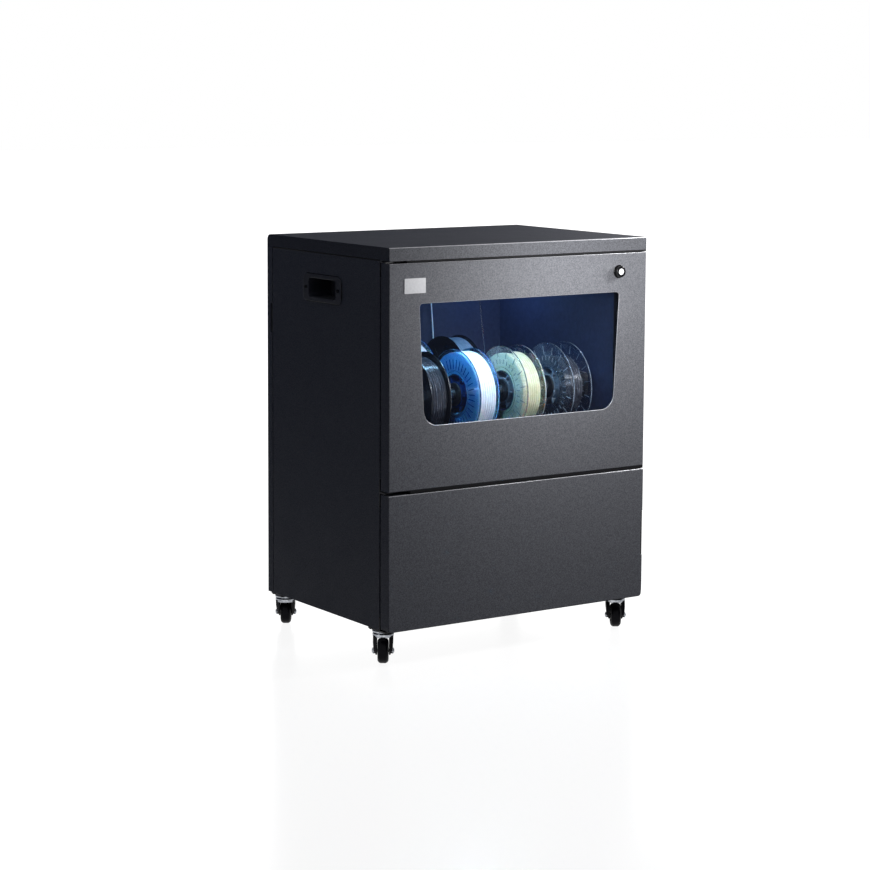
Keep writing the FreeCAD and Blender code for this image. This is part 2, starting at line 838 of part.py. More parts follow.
def window_outline(name, spread, start, length):
    """The window's tapered, rounded outline, padded back from the door's front."""
    corners = [
        (f"-window_half_bottom - {spread}", f"window_bottom - {spread}"),
        (f"window_half_bottom + {spread}", f"window_bottom - {spread}"),
        (f"window_half_top + {spread}", f"window_top + {spread}"),
        (f"-window_half_top - {spread}", f"window_top + {spread}"),
    ]
    low, high = f"window_bottom_radius + {spread}", f"window_top_radius + {spread}"
    return plate(name, "XZ", corners, length, ("0", start, BASE), {0: low, 1: low, 2: high, 3: high})


def upper_door():
    """Skin, pane, liner and badge of the upper door."""
    outer = block("upper_outer", (LEFT, RIGHT), (FRONT, DOOR_BACK), (UPPER_BOTTOM, UPPER_TOP))
    window = window_outline("window_hole", "0", f"{FRONT} - cut_past", "sheet + 2 * cut_past")
    bezel = rod(
        "bezel_hole", "y", KNOB_X, f"{FRONT} - cut_past", KNOB_Z,
        "knob_radius + knob_clearance + bezel_wall", "sheet + 2 * cut_past",
    )
    hollow = block(
        "upper_hollow", (f"{LEFT} + sheet", f"{RIGHT} - sheet"),
        (f"{FRONT} + sheet", f"{DOOR_BACK} + cut_past"), (f"{UPPER_BOTTOM} + sheet", f"{UPPER_TOP} - sheet"),
    )
    pins = pivot_hole("upper_pivot_hole", UPPER_BOTTOM, UPPER_TOP)
    keep("upper_door_skin", cut("upper_skin", outer, hollow, pins, window, bezel))
    keep("window_pane", window_outline("pane", "pane_lap", f"{FRONT} + sheet", "pane_thickness"))
    deep = (f"{DOOR_BACK} - liner_sheet", DOOR_BACK)
    through = (f"{DOOR_BACK} - liner_sheet - cut_past", f"{DOOR_BACK} + cut_past")
    whole = block(
        "door_liner_plate", (f"{LEFT} + sheet", f"{RIGHT} - sheet"), deep,
        (f"{UPPER_BOTTOM} + sheet", f"{UPPER_TOP} - sheet"),
    )
    reach = "(window_half_top + liner_margin)"
    hole = block(
        "door_liner_hole", (f"-{reach}", reach), through,
        (f"{BASE} + window_bottom - liner_margin", f"{BASE} + window_top + liner_margin"),
    )
    keep("upper_door_liner", cut("door_liner", whole, hole, latch_hole("door_liner_latch", through)))
    keep("badge_plate", slab(
        "badge", "XZ", "badge_width", "badge_height", "badge_thickness",
        (f"{LEFT} + badge_from_left + badge_width / 2", f"{FRONT} - badge_thickness",
         f"{BASE} + badge_bottom + badge_height / 2"), "badge_radius",
    ))


def lower_door():
    """Skin, liner with a hand hole, and finger pull of the lower door."""
    outer = plate(
        "lower_outer", "XZ",
        [(LEFT, BASE), (RIGHT, BASE), (RIGHT, LOWER_TOP), (LEFT, LOWER_TOP)],
        "door_depth", ("0", FRONT, "0"), {0: "lower_corner_radius", 1: "lower_corner_radius"},
    )
    pull_z = (f"{BASE} + pull_bottom", f"{BASE} + pull_top")
    notch = block(
        "pull_hole", (f"{RIGHT} - pull_notch", f"{RIGHT} + cut_past"),
        (f"{FRONT} - cut_past", f"{FRONT} + pull_depth"), pull_z,
    )
    inside = [
        (f"{LEFT} + sheet", f"{BASE} + sheet"), (f"{RIGHT} - sheet", f"{BASE} + sheet"),
        (f"{RIGHT} - sheet", f"{LOWER_TOP} - sheet"), (f"{LEFT} + sheet", f"{LOWER_TOP} - sheet"),
    ]
    rounds = dict.fromkeys((0, 1), "lower_corner_radius - sheet")
    hollow = plate("lower_hollow", "XZ", inside, "door_depth", ("0", f"{FRONT} + sheet", "0"), rounds)
    pins = pivot_hole("lower_pivot_hole", BASE, LOWER_TOP)
    keep("lower_door_skin", cut("lower_skin", outer, hollow, pins, notch))
    whole = plate(
        "lower_liner_plate", "XZ", inside, "liner_sheet", ("0", f"{DOOR_BACK} - liner_sheet", "0"), rounds,
    )
    access = slab(
        "liner_access", "XZ", "access_width", "access_height", "liner_sheet + 2 * cut_past",
        ("0", f"{DOOR_BACK} - liner_sheet - cut_past", f"({BASE} + {LOWER_TOP}) / 2"), "access_radius",
    )
    keep("lower_door_liner", cut("lower_liner", whole, access))
    edge = f"{RIGHT} - sheet"
    shell = block(
        "pull_shell", (f"{edge} - pull_width", edge),
        (f"{FRONT} + sheet", f"{DOOR_BACK} - liner_sheet"),
        (f"{pull_z[0]} - pull_wall", f"{pull_z[1]} + pull_wall"),
    )
    hollow = block(
        "pull_hollow", (f"{edge} - pull_width + pull_wall", f"{RIGHT} + cut_past"),
        (f"{FRONT} + sheet + pull_wall", f"{FRONT} + pull_depth"), pull_z,
    )
    mouth = block(
        "pull_mouth", (f"{RIGHT} - pull_notch", f"{RIGHT} + cut_past"),
        (FRONT, f"{FRONT} + sheet + pull_wall + cut_past"), pull_z,
    )
    keep("finger_pull_cup", cut("pull", shell, hollow, mouth))


def latch():
    """Push knob in its bezel and housing, its cap, and the bolt that it lifts."""
    bore = "knob_radius + knob_clearance"
    ring = rod(
        "bezel_ring", "y", KNOB_X, f"{FRONT} - bezel_thickness", KNOB_Z, "bezel_radius", "bezel_thickness",
    )
    neck = rod("bezel_neck", "y", KNOB_X, FRONT, KNOB_Z, f"{bore} + bezel_wall", "sheet")
    hole = rod(
        "bezel_bore", "y", KNOB_X, f"{FRONT} - bezel_thickness - cut_past", KNOB_Z, bore,
        "bezel_thickness + sheet + 2 * cut_past",
    )
    bezel = cut("bezel", fuse("bezel_body", ring, neck), hole)
    body = block(
        "latch_block", (f"{KNOB_X} - latch_half_width", f"{KNOB_X} + latch_half_width"),
        (f"{FRONT} + sheet + snug_fit", LATCH_BACK),
        (f"{KNOB_Z} - latch_below", f"{KNOB_Z} + latch_above"),
    )
    tail = rod("latch_bore", "y", KNOB_X, FRONT, KNOB_Z, bore, f"{KNOB_BORE_END} - {FRONT}")
    half = "(bolt_half_width + bolt_clearance)"
    slot = block(
        "latch_slot", (f"{KNOB_X} - {half}", f"{KNOB_X} + {half}"),
        (f"{BOLT_START} - bolt_clearance", f"{LATCH_BACK} + cut_past"),
        (f"{KNOB_Z} - bolt_block_below - bolt_clearance",
         f"{KNOB_Z} + bolt_block_above + bolt_lift + bolt_clearance"),
    )
    keep("latch_housing", group("latch_parts", [bezel, cut("latch_body", body, tail, slot)]))

    long = "knob_reach + knob_tail"
    knob = turned("knob_body", [
        ("0", "0"), ("knob_radius", "0"), ("knob_radius", f"{long} - knob_chamfer"),
        ("knob_radius - knob_chamfer", long), ("cap_radius", long),
        ("cap_radius", f"{long} - cap_thickness"), ("0", f"{long} - cap_thickness"),
    ])
    outwards = Rotation(Vector(1, 0, 0), 90)
    keep("latch_knob", place(knob, KNOB_X, f"{FRONT} + knob_tail", KNOB_Z, outwards))
    cap = rod(
        "cap_disc", "y", KNOB_X, f"{FRONT} - knob_reach", KNOB_Z, "cap_radius - snug_fit", "cap_thickness",
    )
    keep("knob_cap", cap)

    wide = (f"{KNOB_X} - bolt_half_width", f"{KNOB_X} + bolt_half_width")
    lump = block(
        "bolt_lump", wide, (BOLT_START, f"{BOLT_START} + bolt_block"),
        (f"{KNOB_Z} - bolt_block_below", f"{KNOB_Z} + bolt_block_above"),
    )
    shank = block(
        "bolt_bar", wide, (BOLT_START, BOLT_TIP),
        (f"{KNOB_Z} - bolt_shank_below", f"{KNOB_Z} - bolt_shank_below + bolt_shank"),
    )
    hook = block(
        "bolt_hook", wide, (f"{BOLT_TIP} - bolt_head", BOLT_TIP),
        (f"{KNOB_Z} - bolt_shank_below", f"{KNOB_Z} + bolt_head_above"),
    )
    keep("latch_bolt", fuse("bolt", lump, shank, hook))


def pivot_bracket(name, low, high, tab, pins):
    """A plate with a welded tab, and pins that stand up from it or hang from it."""
    wide = (f"{PIVOT_X} - pivot_width / 2", f"{PIVOT_X} + pivot_width / 2")
    shelf = block(f"{name}_plate", wide, (f"{PIVOT_Y} - pivot_overlap", SIDE_FRONT), (low, high))
    upright = block(f"{name}_tab", wide, (f"{SIDE_FRONT} - pivot_tab", SIDE_FRONT), tab)
    solids = [shelf, upright]
    for start, end in pins:
        solids.append(rod(
            f"{name}_pin", "z", PIVOT_X, PIVOT_Y, start, "pivot_pin_radius", f"({end}) - ({start})",
        ))
    return fuse(name, *solids)


def pivot_brackets():
    """Top, middle and bottom pivots of the two doors."""
    reach = "(sheet + pivot_pin_reach)"
    top = f"{UPPER_TOP} + pivot_play"
    gap_low = f"{LOWER_TOP} + (door_gap - pivot_plate) / 2"
    bottom = f"{BASE} - pivot_play"
    brackets = [
        pivot_bracket(
            "pivot_top", top, f"{top} + pivot_plate", (f"{top} - pivot_tab_height", f"{top} + pivot_plate"),
            [(f"{UPPER_TOP} - {reach}", top)],
        ),
        pivot_bracket(
            "pivot_middle", gap_low, f"{gap_low} + pivot_plate",
            (f"{gap_low} - pivot_tab_height", f"{gap_low} + pivot_tab_height"),
            [(f"{gap_low} + pivot_plate", f"{UPPER_BOTTOM} + {reach}"),
             (f"{LOWER_TOP} - {reach}", gap_low)],
        ),
        pivot_bracket(
            "pivot_bottom", f"{bottom} - pivot_plate", bottom,
            (f"{bottom} - pivot_plate", f"{bottom} + pivot_tab_height"), [(bottom, f"{BASE} + {reach}")],
        ),
    ]
    keep("pivot_brackets", group("pivots", brackets))


def door_magnets():
    """Magnets on the front frame's rail that hold the lower door shut."""
    magnets = []
    for k in range(2):
        magnets.append(box(
            "magnet", f"{RIGHT} - magnet_from_right - {k} * magnet_step", f"{DOOR_BACK} + gasket_gap",
            f"{LOWER_TOP} - magnet_drop", "magnet_length", f"({FRAME_FRONT}) - ({DOOR_BACK}) - gasket_gap",
            "magnet_height",
        ))
    keep("door_magnets", group("magnets", magnets))


def spool_rods():
    """Two steel tubes, their brackets on the chamber walls, and a hub sleeve for each place."""
    rods, brackets, sleeves = [], [], []
    for y in ROD_Y.values():
        start = f"{CHAMBER_LEFT} + rod_end_gap"
        length = f"({CHAMBER_RIGHT}) - ({CHAMBER_LEFT}) - 2 * rod_end_gap"
        outer = rod("steel_rod", "x", start, y, ROD_Z, "rod_radius", length)
        inner = rod(
            "steel_rod_bore", "x", f"{start} - cut_past", y, ROD_Z, "rod_radius - rod_wall",
            f"{length} + 2 * cut_past",
        )
        rods.append(cut("steel_tube", outer, inner))
        for x in (CHAMBER_LEFT, f"{CHAMBER_RIGHT} - bracket_thickness"):
            body = slab(
                "bracket_body", "YZ", "bracket_width", "bracket_height", "bracket_thickness",
                (x, y, ROD_Z), "bracket_radius",
            )
            seat = rod(
                "bracket_seat", "x", f"{x} - cut_past", y, ROD_Z, "rod_radius + snug_fit",
                "bracket_thickness + 2 * cut_past",
            )
            brackets.append(cut("bracket", body, seat))
        for column in range(COLUMNS):
            start = f"{column_x(column)} - sleeve_length / 2"
            body = rod("sleeve_body", "x", start, y, ROD_Z, "reel_bore - sleeve_clearance", "sleeve_length")
            bore = rod(
                "sleeve_bore", "x", f"{start} - cut_past", y, ROD_Z, "rod_radius + snug_fit",
                "sleeve_length + 2 * cut_past",
            )
            sleeves.append(cut("sleeve", body, bore))
    keep("spool_rods", group("rods", rods))
    keep("rod_brackets", group("brackets", brackets))
    keep("spool_sleeves", group("sleeves", sleeves))


def reel(number):
    """A reel with a barrel on spokes, and the filament's inner layers on it as a plain core."""
    half, lip = "(reel_width / 2)", "(reel_width / 2 - reel_flange)"
    body = turned(f"reel_{number}_body", [
        ("reel_bore", f"-{half}"), ("reel_radius", f"-{half}"), ("reel_radius", f"-{lip}"),
        ("reel_hub", f"-{lip}"), ("reel_hub", lip), ("reel_radius", lip),
        ("reel_radius", half), ("reel_bore", half),
    ])
    inner, outer = "(reel_bore + reel_ring)", "(reel_hub - reel_ring)"
    spread = "tan(180 deg / reel_windows)"
    wedge = sketch_on(body, "XY", [
        (inner, f"reel_spoke / 2 - {inner} * {spread}"), (outer, f"reel_spoke / 2 - {outer} * {spread}"),
        (outer, f"{outer} * {spread} - reel_spoke / 2"), (inner, f"{inner} * {spread} - reel_spoke / 2"),
    ])
    opening = body.newObject("PartDesign::Pocket", f"reel_{number}_opening")
    opening.Profile = wedge
    opening.Type = "ThroughAll"
    opening.SideType = "Symmetric"
    doc.recompute()
    ring = body.newObject("PartDesign::PolarPattern", f"reel_{number}_ring")
    ring.Originals = [opening]
    ring.Axis = (wedge, ["N_Axis"])
    ring.Angle = 360
    bind(ring, "Occurrences", "reel_windows")
    body.Tip = ring
    doc.recompute()
    half = "(reel_width / 2 - reel_flange - core_gap)"
    inner, outer = "(reel_hub + core_gap)", f"(winding_{number} - filament_diameter - core_gap)"
    core = turned(f"core_{number}", [(inner, f"-{half}"), (outer, f"-{half}"), (outer, half), (inner, half)])
    column, row = REELS[number]
    for solid in (body, core):
        place(solid, column_x(column), ROD_Y[row], ROD_Z, TURN["x"])
    keep(f"reel_{number}", group(f"reel_{number}_parts", [body, core]))


def biarc(start, start_way, end, end_way):
    """Two arcs that join two points of a curve and keep its direction at both."""
    step, ways = end - start, start_way + end_way
    square, slope = ways.dot(ways) - 4, step.dot(ways)
    reach = (slope - math.sqrt(slope * slope - square * step.dot(step))) / square
    knees = (start + start_way * reach, end - end_way * reach)
    joint = (knees[0] + knees[1]) * 0.5
    arcs = []
    for first, knee, last in ((start, knees[0], joint), (joint, knees[1], end)):
        middle = (first + last) * 0.5
        chord = (last - first).Length / 2
        rise = knee - middle
        bulge = chord * math.tan(math.atan2(rise.Length, chord) / 2)
        arcs.append(Part.Arc(first, middle + rise.normalize() * bulge, last).toShape())
    return arcs


def winding_path(radius, turns, pitch, centre, lead):
    """A coil about X on biarcs of half turns, with a straight lead at each end."""
    def spot(k):
        angle = math.pi * k
        along = pitch * (k / 2 - turns / 2)
        return centre + Vector(along, radius * math.cos(angle), radius * math.sin(angle))

    def way(k):
        angle = math.pi * k
        swing = math.pi * radius
        heading = Vector(pitch / 2, -swing * math.sin(angle), swing * math.cos(angle))
        return heading.normalize()

    halves = 2 * turns
    edges = [Part.LineSegment(spot(0) - way(0) * lead, spot(0)).toShape()]
    for k in range(halves):
        edges += biarc(spot(k), way(k), spot(k + 1), way(k + 1))
    edges.append(Part.LineSegment(spot(halves), spot(halves) + way(halves) * lead).toShape())
    return Part.Wire(edges)


def tube_along(wire, diameter):
    """A round tube along a wire."""
    first = wire.OrderedEdges[0]
    start = first.valueAt(first.FirstParameter)
    heading = first.tangentAt(first.FirstParameter)
    ring = Part.Wire(Part.Circle(start, heading, diameter / 2).toShape())
    return wire.makePipeShell([ring], True, False)


def least_gap(wire, diameter, skip):
    """The least gap between turns of a tube, on points along its path."""
    points, run = [], 0.0
    for edge in wire.OrderedEdges:
        for point in edge.discretize(GAP_POINTS + 1)[:-1]:
            points.append((run, point))
            run += edge.Length / GAP_POINTS
    gaps = []
    for k, (here, point) in enumerate(points):
        for there, other in points[k + 1:]:
            if there - here > skip:
                gaps.append(point.distanceToPoint(other))
    return min(gaps) - diameter


def filament(number):
    """The outer layer of filament on a reel, as one unbroken tube."""
    column, row = REELS[number]
    diameter = size("filament_diameter")
    radius = size(f"winding_{number}") - diameter / 2
    between = size("reel_width") - 2 * size("reel_flange")
    pitch = diameter + size("winding_gap")
    turns = int((between - diameter - 2 * size("winding_end_gap")) / pitch)
    rows = {"front": size("front_rod"), "rear": size("rear_rod")}
    centre = Vector(
        size("column_shift") + (column - (COLUMNS - 1) / 2) * size("column_pitch"),
        rows[row] - size("depth") / 2,
        size("caster_height") + size("rod_height"),
    )
    wire = winding_path(radius, turns, pitch, centre, diameter)
    tube = doc.addObject("Part::Feature", f"winding_{number}_tube")
    tube.Shape = tube_along(wire, diameter)
    gap = least_gap(wire, diameter, math.pi * radius / 2)
    print(f"filament_{number}: {turns} turns, least gap {gap:.2f} mm")
    keep(f"filament_{number}", tube)


def filament_outlets():
    """Ceiling grommets that lead the filament out of the chamber."""
    outlets = []
    for x, y in outlet_places():
        low = f"{CEILING} - outlet_flange"
        flange = rod("outlet_flange", "z", x, y, low, "outlet_flange_radius", "outlet_flange")
        barrel = rod("outlet_barrel", "z", x, y, CEILING, "outlet_radius - snug_fit", "outlet_reach")
        bore = rod(
            "outlet_bore", "z", x, y, f"{low} - cut_past", "outlet_bore",
            "outlet_flange + outlet_reach + 2 * cut_past",
        )
        outlets.append(cut("outlet", fuse("outlet_body", flange, barrel), bore))
    keep("filament_outlets", group("outlets", outlets))


def strand_path(row, reel, column):
    """A strand's points: up from the back of its reel, leaning, then straight through its outlet."""
    middle = size("column_shift") + (column - (COLUMNS - 1) / 2) * size("column_pitch")
    deep = size(f"{row}_rod") - size("depth") / 2 + size(f"winding_{reel}")
    deep += size("strand_gap") + size("filament_diameter") / 2
    start = size("caster_height") + size("rod_height")
    top = size("caster_height") + size("chamber_top")
    outlet = middle - size(f"{row}_outlet_shift")
    return [
        Vector(middle + size(f"strand_start_{row}"), deep, start),
        Vector(middle + size(f"strand_lean_{row}"), deep, start + size("strand_rise")),
        Vector(outlet, deep, top - size("strand_turn")),
        Vector(outlet, deep, top + size("outlet_reach")),
    ]


def rounded_path(points):
    """Straight runs joined by tangent arcs as large as the runs allow, and the arcs' radii."""
    edges, radii, last = [], [], points[0]
    for before, corner, after in zip(points, points[1:], points[2:]):
        inwards, outwards = corner - before, after - corner
        turn = inwards.getAngle(outwards)
        reach = ARC_SHARE * min(inwards.Length, outwards.Length)
        radii.append(reach / math.tan(turn / 2))
        inwards.normalize()
        outwards.normalize()
        start, end = corner - inwards * reach, corner + outwards * reach
        edges.append(Part.LineSegment(last, start).toShape())
        edges += biarc(start, inwards, end, outwards)
        last = end
    edges.append(Part.LineSegment(last, points[-1]).toShape())
    return Part.Wire(edges), radii


def filament_strands():
    """Two strands of filament, held by their reels below and by their outlets above."""
    strands = []
    for row, reel in (("front", 3), ("rear", 6)):
        wire, radii = rounded_path(strand_path(row, reel, REELS[reel][0]))
        strand = doc.addObject("Part::Feature", f"{row}_strand")
        strand.Shape = tube_along(wire, size("filament_diameter"))
        section = math.pi * size("filament_diameter") ** 2 / 4
        share = strand.Shape.Volume / (section * wire.Length)
        print(f"{row} strand: radii {[round(r) for r in radii]} mm, volume share {share:.4f}")
        strands.append(strand)
    keep("filament_strands", group("strands", strands))


def light_bar():
    """Light over the reels, with its diffuser sloped towards the back."""
    corners = [
        ("0", "0"), ("light_width", "light_slope"), ("light_width", "light_height"), ("0", "light_height"),
    ]
    keep("light_bar", plate(
        "light", "YZ", corners, "light_length",
        ("-light_length / 2", f"{FRONT} + light_from_front", f"{CEILING} - light_height"),
    ))


def humidity_sensor():
    """Slotted sensor case on the chamber's rear wall."""
    low, start = f"{BASE} + sensor_height", f"{CHAMBER_BACK} - sensor_depth"
    left = f"({CHAMBER_RIGHT} - sensor_from_side - sensor_width)"
    case = box("sensor_case", left, start, low, "sensor_width", "sensor_depth", "sensor_tall")
    slots = []
    for k in range(int(size("sensor_slots"))):
        middle = f"{low} + sensor_tall * {2 * k + 1} / (2 * sensor_slots)"
        slots.append(box(
            "sensor_cut", f"{left} + sensor_width / 4", f"{start} - cut_past",
            f"{middle} - sensor_slot / 2", "sensor_width / 2", "sensor_depth / 2", "sensor_slot",
        ))
    keep("humidity_sensor", cut("sensor", case, *slots))


def dryer():
    """Housing under the shelf with a fan in its floor and a heater over the fan."""
    wide = ("-dryer_width / 2", "dryer_width / 2")
    deep = (f"{DRYER_Y} - dryer_depth / 2", f"{DRYER_Y} + dryer_depth / 2")
    outer = block("dryer_outer", wide, deep, (DRYER_BOTTOM, f"{SHELF_TOP} - sheet"))
    inner = block(
        "dryer_inner", (f"{wide[0]} + sheet", f"{wide[1]} - sheet"),
        (f"{deep[0]} + sheet", f"{deep[1]} - sheet"), (FAN_BOTTOM, f"{SHELF_TOP} + cut_past"),
    )
    intake = rod(
        "dryer_intake", "z", "0", DRYER_Y, f"{DRYER_BOTTOM} - cut_past", "fan_bore", "sheet + 2 * cut_past",
    )
    keep("dryer_housing", cut("dryer", outer, inner, intake))

    case = box(
        "fan_case", "-fan_size / 2", f"{DRYER_Y} - fan_size / 2", FAN_BOTTOM,
        "fan_size", "fan_size", "fan_thickness",
    )
    bore = rod(
        "fan_hole", "z", "0", DRYER_Y, f"{FAN_BOTTOM} - cut_past", "fan_bore", "fan_thickness + 2 * cut_past",
    )
    strut_x = box(
        "fan_strut_x", "-fan_size / 2 + sheet", f"{DRYER_Y} - fan_strut / 2", FAN_BOTTOM,
        "fan_size - 2 * sheet", "fan_strut", "fan_base",
    )
    strut_y = box(
        "fan_strut_y", "-fan_strut / 2", f"{DRYER_Y} - fan_size / 2 + sheet", FAN_BOTTOM,
        "fan_strut", "fan_size - 2 * sheet", "fan_base",
    )
    motor = rod("fan_motor", "z", "0", DRYER_Y, FAN_BOTTOM, "fan_hub", "fan_base")
    pin = rod("fan_shaft", "z", "0", DRYER_Y, FAN_BOTTOM, "fan_pin", "fan_base + fan_play + fan_pin_reach")
    keep("fan_frame", fuse("fan", cut("fan_ring", case, bore), strut_x, strut_y, motor, pin))

    rotor = doc.addObject("PartDesign::Body", "rotor")
    rise = "fan_thickness - fan_base - 2 * fan_play"
    pad_of(rotor, circle_on(rotor, "XY", "fan_hub"), "XY", rise)
    low = f"({rise} - fan_blade_rise) / 2"
    side = "fan_blade_sweep / 2"
    blade = pad_of(rotor, sketch_on(rotor, "YZ", [
        (f"-{side}", low), (f"fan_blade - {side}", low),
        (f"{side} + fan_blade", f"{low} + fan_blade_rise"), (side, f"{low} + fan_blade_rise"),
    ]), "YZ", "fan_bore - fan_tip_gap")
    doc.recompute()
    ring = rotor.newObject("PartDesign::PolarPattern", "rotor_ring")
    ring.Originals = [blade]
    ring.Axis = ([each for each in rotor.Origin.OriginFeatures if each.Role == "Z_Axis"][0], [""])
    ring.Angle = 360
    bind(ring, "Occurrences", "fan_blades")
    rotor.Tip = ring
    low = f"{FAN_BOTTOM} + fan_base + fan_play"
    place(rotor, "0", DRYER_Y, low)
    seat = rod(
        "rotor_seat", "z", "0", DRYER_Y, f"{low} - cut_past", "fan_pin + fan_pin_clearance",
        "fan_pin_reach + fan_play + cut_past",
    )
    keep("fan_rotor", cut("rotor_bored", rotor, seat))

    heater = doc.addObject("PartDesign::Body", "heater")
    half = "heater_size / 2"
    pad_of(heater, sketch_on(heater, "YZ", [
        (f"-{half}", "0"), (half, "0"), (half, "heater_plate"), (f"-{half}", "heater_plate"),
    ]), "YZ", "heater_size")
    fin = pad_of(heater, sketch_on(heater, "YZ", [
        (f"-{half}", "heater_plate / 2"), (half, "heater_plate / 2"),
        (half, "heater_height"), (f"-{half}", "heater_height"),
    ]), "YZ", "heater_fin")
    doc.recompute()
    fins = heater.newObject("PartDesign::LinearPattern", "heater_rows")
    fins.Originals = [fin]
    fins.Direction = ([each for each in heater.Origin.OriginFeatures if each.Role == "X_Axis"][0], [""])
    bind(fins, "Length", "heater_size - heater_fin")
    bind(fins, "Occurrences", "heater_fins")
    heater.Tip = fins
    keep("heater_core", place(heater, f"-{half}", DRYER_Y, f"{FAN_BOTTOM} + fan_thickness"))


def control_board():
    """Circuit board on standoffs inside the rear panel."""
    x, z = f"{LEFT} + board_from_left", f"{BASE} + board_bottom"
    wall = f"{BACK} - sheet"
    face = f"{wall} - board_standoff - board_thickness"
    solids = [box("board", x, face, z, "board_width", "board_thickness", "board_height")]
    inset = "2 * board_standoff_radius"
    for across in (inset, f"board_width - {inset}"):
        for up in (inset, f"board_height - {inset}"):
            solids.append(rod(
                "standoff", "y", f"{x} + {across}", f"{wall} - board_standoff - board_thickness / 2",
                f"{z} + {up}", "board_standoff_radius", "board_standoff + board_thickness / 2",
            ))
    for k in range(int(size("board_parts"))):
        solids.append(box(
            "board_item", f"{x} + board_part_inset + {k} * board_part_pitch", f"{face} - board_part_depth",
            f"{z} + board_part_rise", "board_part_width", "board_part_depth + board_thickness / 2",
            "board_part_height",
        ))
    keep("control_board", fuse("control", *solids))


def power_inlet():
    """Mains inlet in the rear panel, with its socket and three contact pins."""
    half, rise = "inlet_width / 2", "inlet_tall / 2"
    flange = block(
        "inlet_face", (f"{INLET_X} - {half} - inlet_lip", f"{INLET_X} + {half} + inlet_lip"),
        (BACK, f"{BACK} + inlet_flange"),
        (f"{INLET_Z} - {rise} - inlet_lip", f"{INLET_Z} + {rise} + inlet_lip"),
    )
    body = block(
        "inlet_body", (f"{INLET_X} - {half} + snug_fit", f"{INLET_X} + {half} - snug_fit"),
        (f"{BACK} - inlet_depth", f"{BACK} + inlet_flange / 2"),
        (f"{INLET_Z} - {rise} + snug_fit", f"{INLET_Z} + {rise} - snug_fit"),
    )
    recess = block(
        "inlet_recess_cut", (f"{INLET_X} - {half} + inlet_wall", f"{INLET_X} + {half} - inlet_wall"),
        (f"{BACK} + inlet_flange - inlet_recess", f"{BACK} + inlet_flange + cut_past"),
        (f"{INLET_Z} - {rise} + inlet_wall", f"{INLET_Z} + {rise} - inlet_wall"),
    )
    solids = [cut("inlet_shell", fuse("inlet_solid", flange, body), recess)]
    for k in (-1, 0, 1):
        solids.append(box(
            "inlet_pin", f"{INLET_X} + {k} * inlet_width / 4 - inlet_wall / 2",
            f"{BACK} + inlet_flange - inlet_recess - cut_past", f"{INLET_Z} - inlet_wall",
            "inlet_wall", "inlet_recess - inlet_flange", "2 * inlet_wall",
        ))
    keep("power_inlet", fuse("inlet", *solids))


def screw(name, axis, sign, x, y, z, shank):
    """A pan head on a face, with a shank into it. The head lies on the sign side along the axis."""
    spot = {"x": x, "y": y, "z": z}
    foot, face = dict(spot), dict(spot)
    if sign == "-":
        face[axis] = f"{spot[axis]} - screw_head"
    else:
        foot[axis] = f"{spot[axis]} - ({shank})"
    head = rod(f"{name}_head", axis, *face.values(), "screw_head_radius", "screw_head")
    stem = rod(f"{name}_stem", axis, *foot.values(), "screw_radius", shank)
    return fuse(name, head, stem)


def cabinet_screws():
    """Screws of the side handles, the rear panel and the caster plates."""
    screws = []
    for y, z in handle_screw_places():
        through = "handle_flange + sheet"
        screws.append(screw("handle_screw", "x", "-", f"{LEFT} - handle_flange", y, z, through))
        screws.append(screw("handle_screw", "x", "+", f"{RIGHT} + handle_flange", y, z, through))
    for x, z in rear_screw_places():
        screws.append(screw("rear_screw", "y", "+", x, BACK, z, "sheet + post_wall"))
    for x, y, _ in CASTERS.values():
        for across, along in caster_screw_places(x, y):
            screws.append(screw(
                "caster_screw", "z", "-", across, along, f"{BASE} - caster_plate_thickness",
                "caster_plate_thickness + base_sheet",
            ))
    keep("cabinet_screws", group("screws", screws))


def caster_plates():
    """Fixed half of each caster: plate, upper race and kingpin with its riveted head."""
    plates = []
    under = f"{BASE} - caster_plate_thickness"
    race = f"{under} - race_height"
    crown = f"{race} - race_gap - fork_race_height - fork_crown"
    for name, (x, y, _) in CASTERS.items():
        top = slab(
            f"plate_{name}", "XY", "caster_plate", "caster_plate", "caster_plate_thickness", (x, y, under),
            "caster_plate_radius",
        )
        ring = rod(f"race_{name}", "z", x, y, race, "race_radius", "race_height")
        low = f"{crown} - race_gap - kingpin_head"
        pin = rod(f"kingpin_{name}", "z", x, y, low, "kingpin_radius", f"({under}) - ({low})")
        head = rod(f"kingpin_head_{name}", "z", x, y, low, "kingpin_head_radius", "kingpin_head")
        holes = [
            rod(f"plate_hole_{name}", "z", across, along, under, "screw_radius + screw_clearance",
                "caster_plate_thickness")
            for across, along in caster_screw_places(x, y)
        ]
        plates.append(cut(f"top_{name}", fuse(f"fixed_{name}", top, ring, pin, head), *holes))
    keep("caster_plates", group("plates", plates))


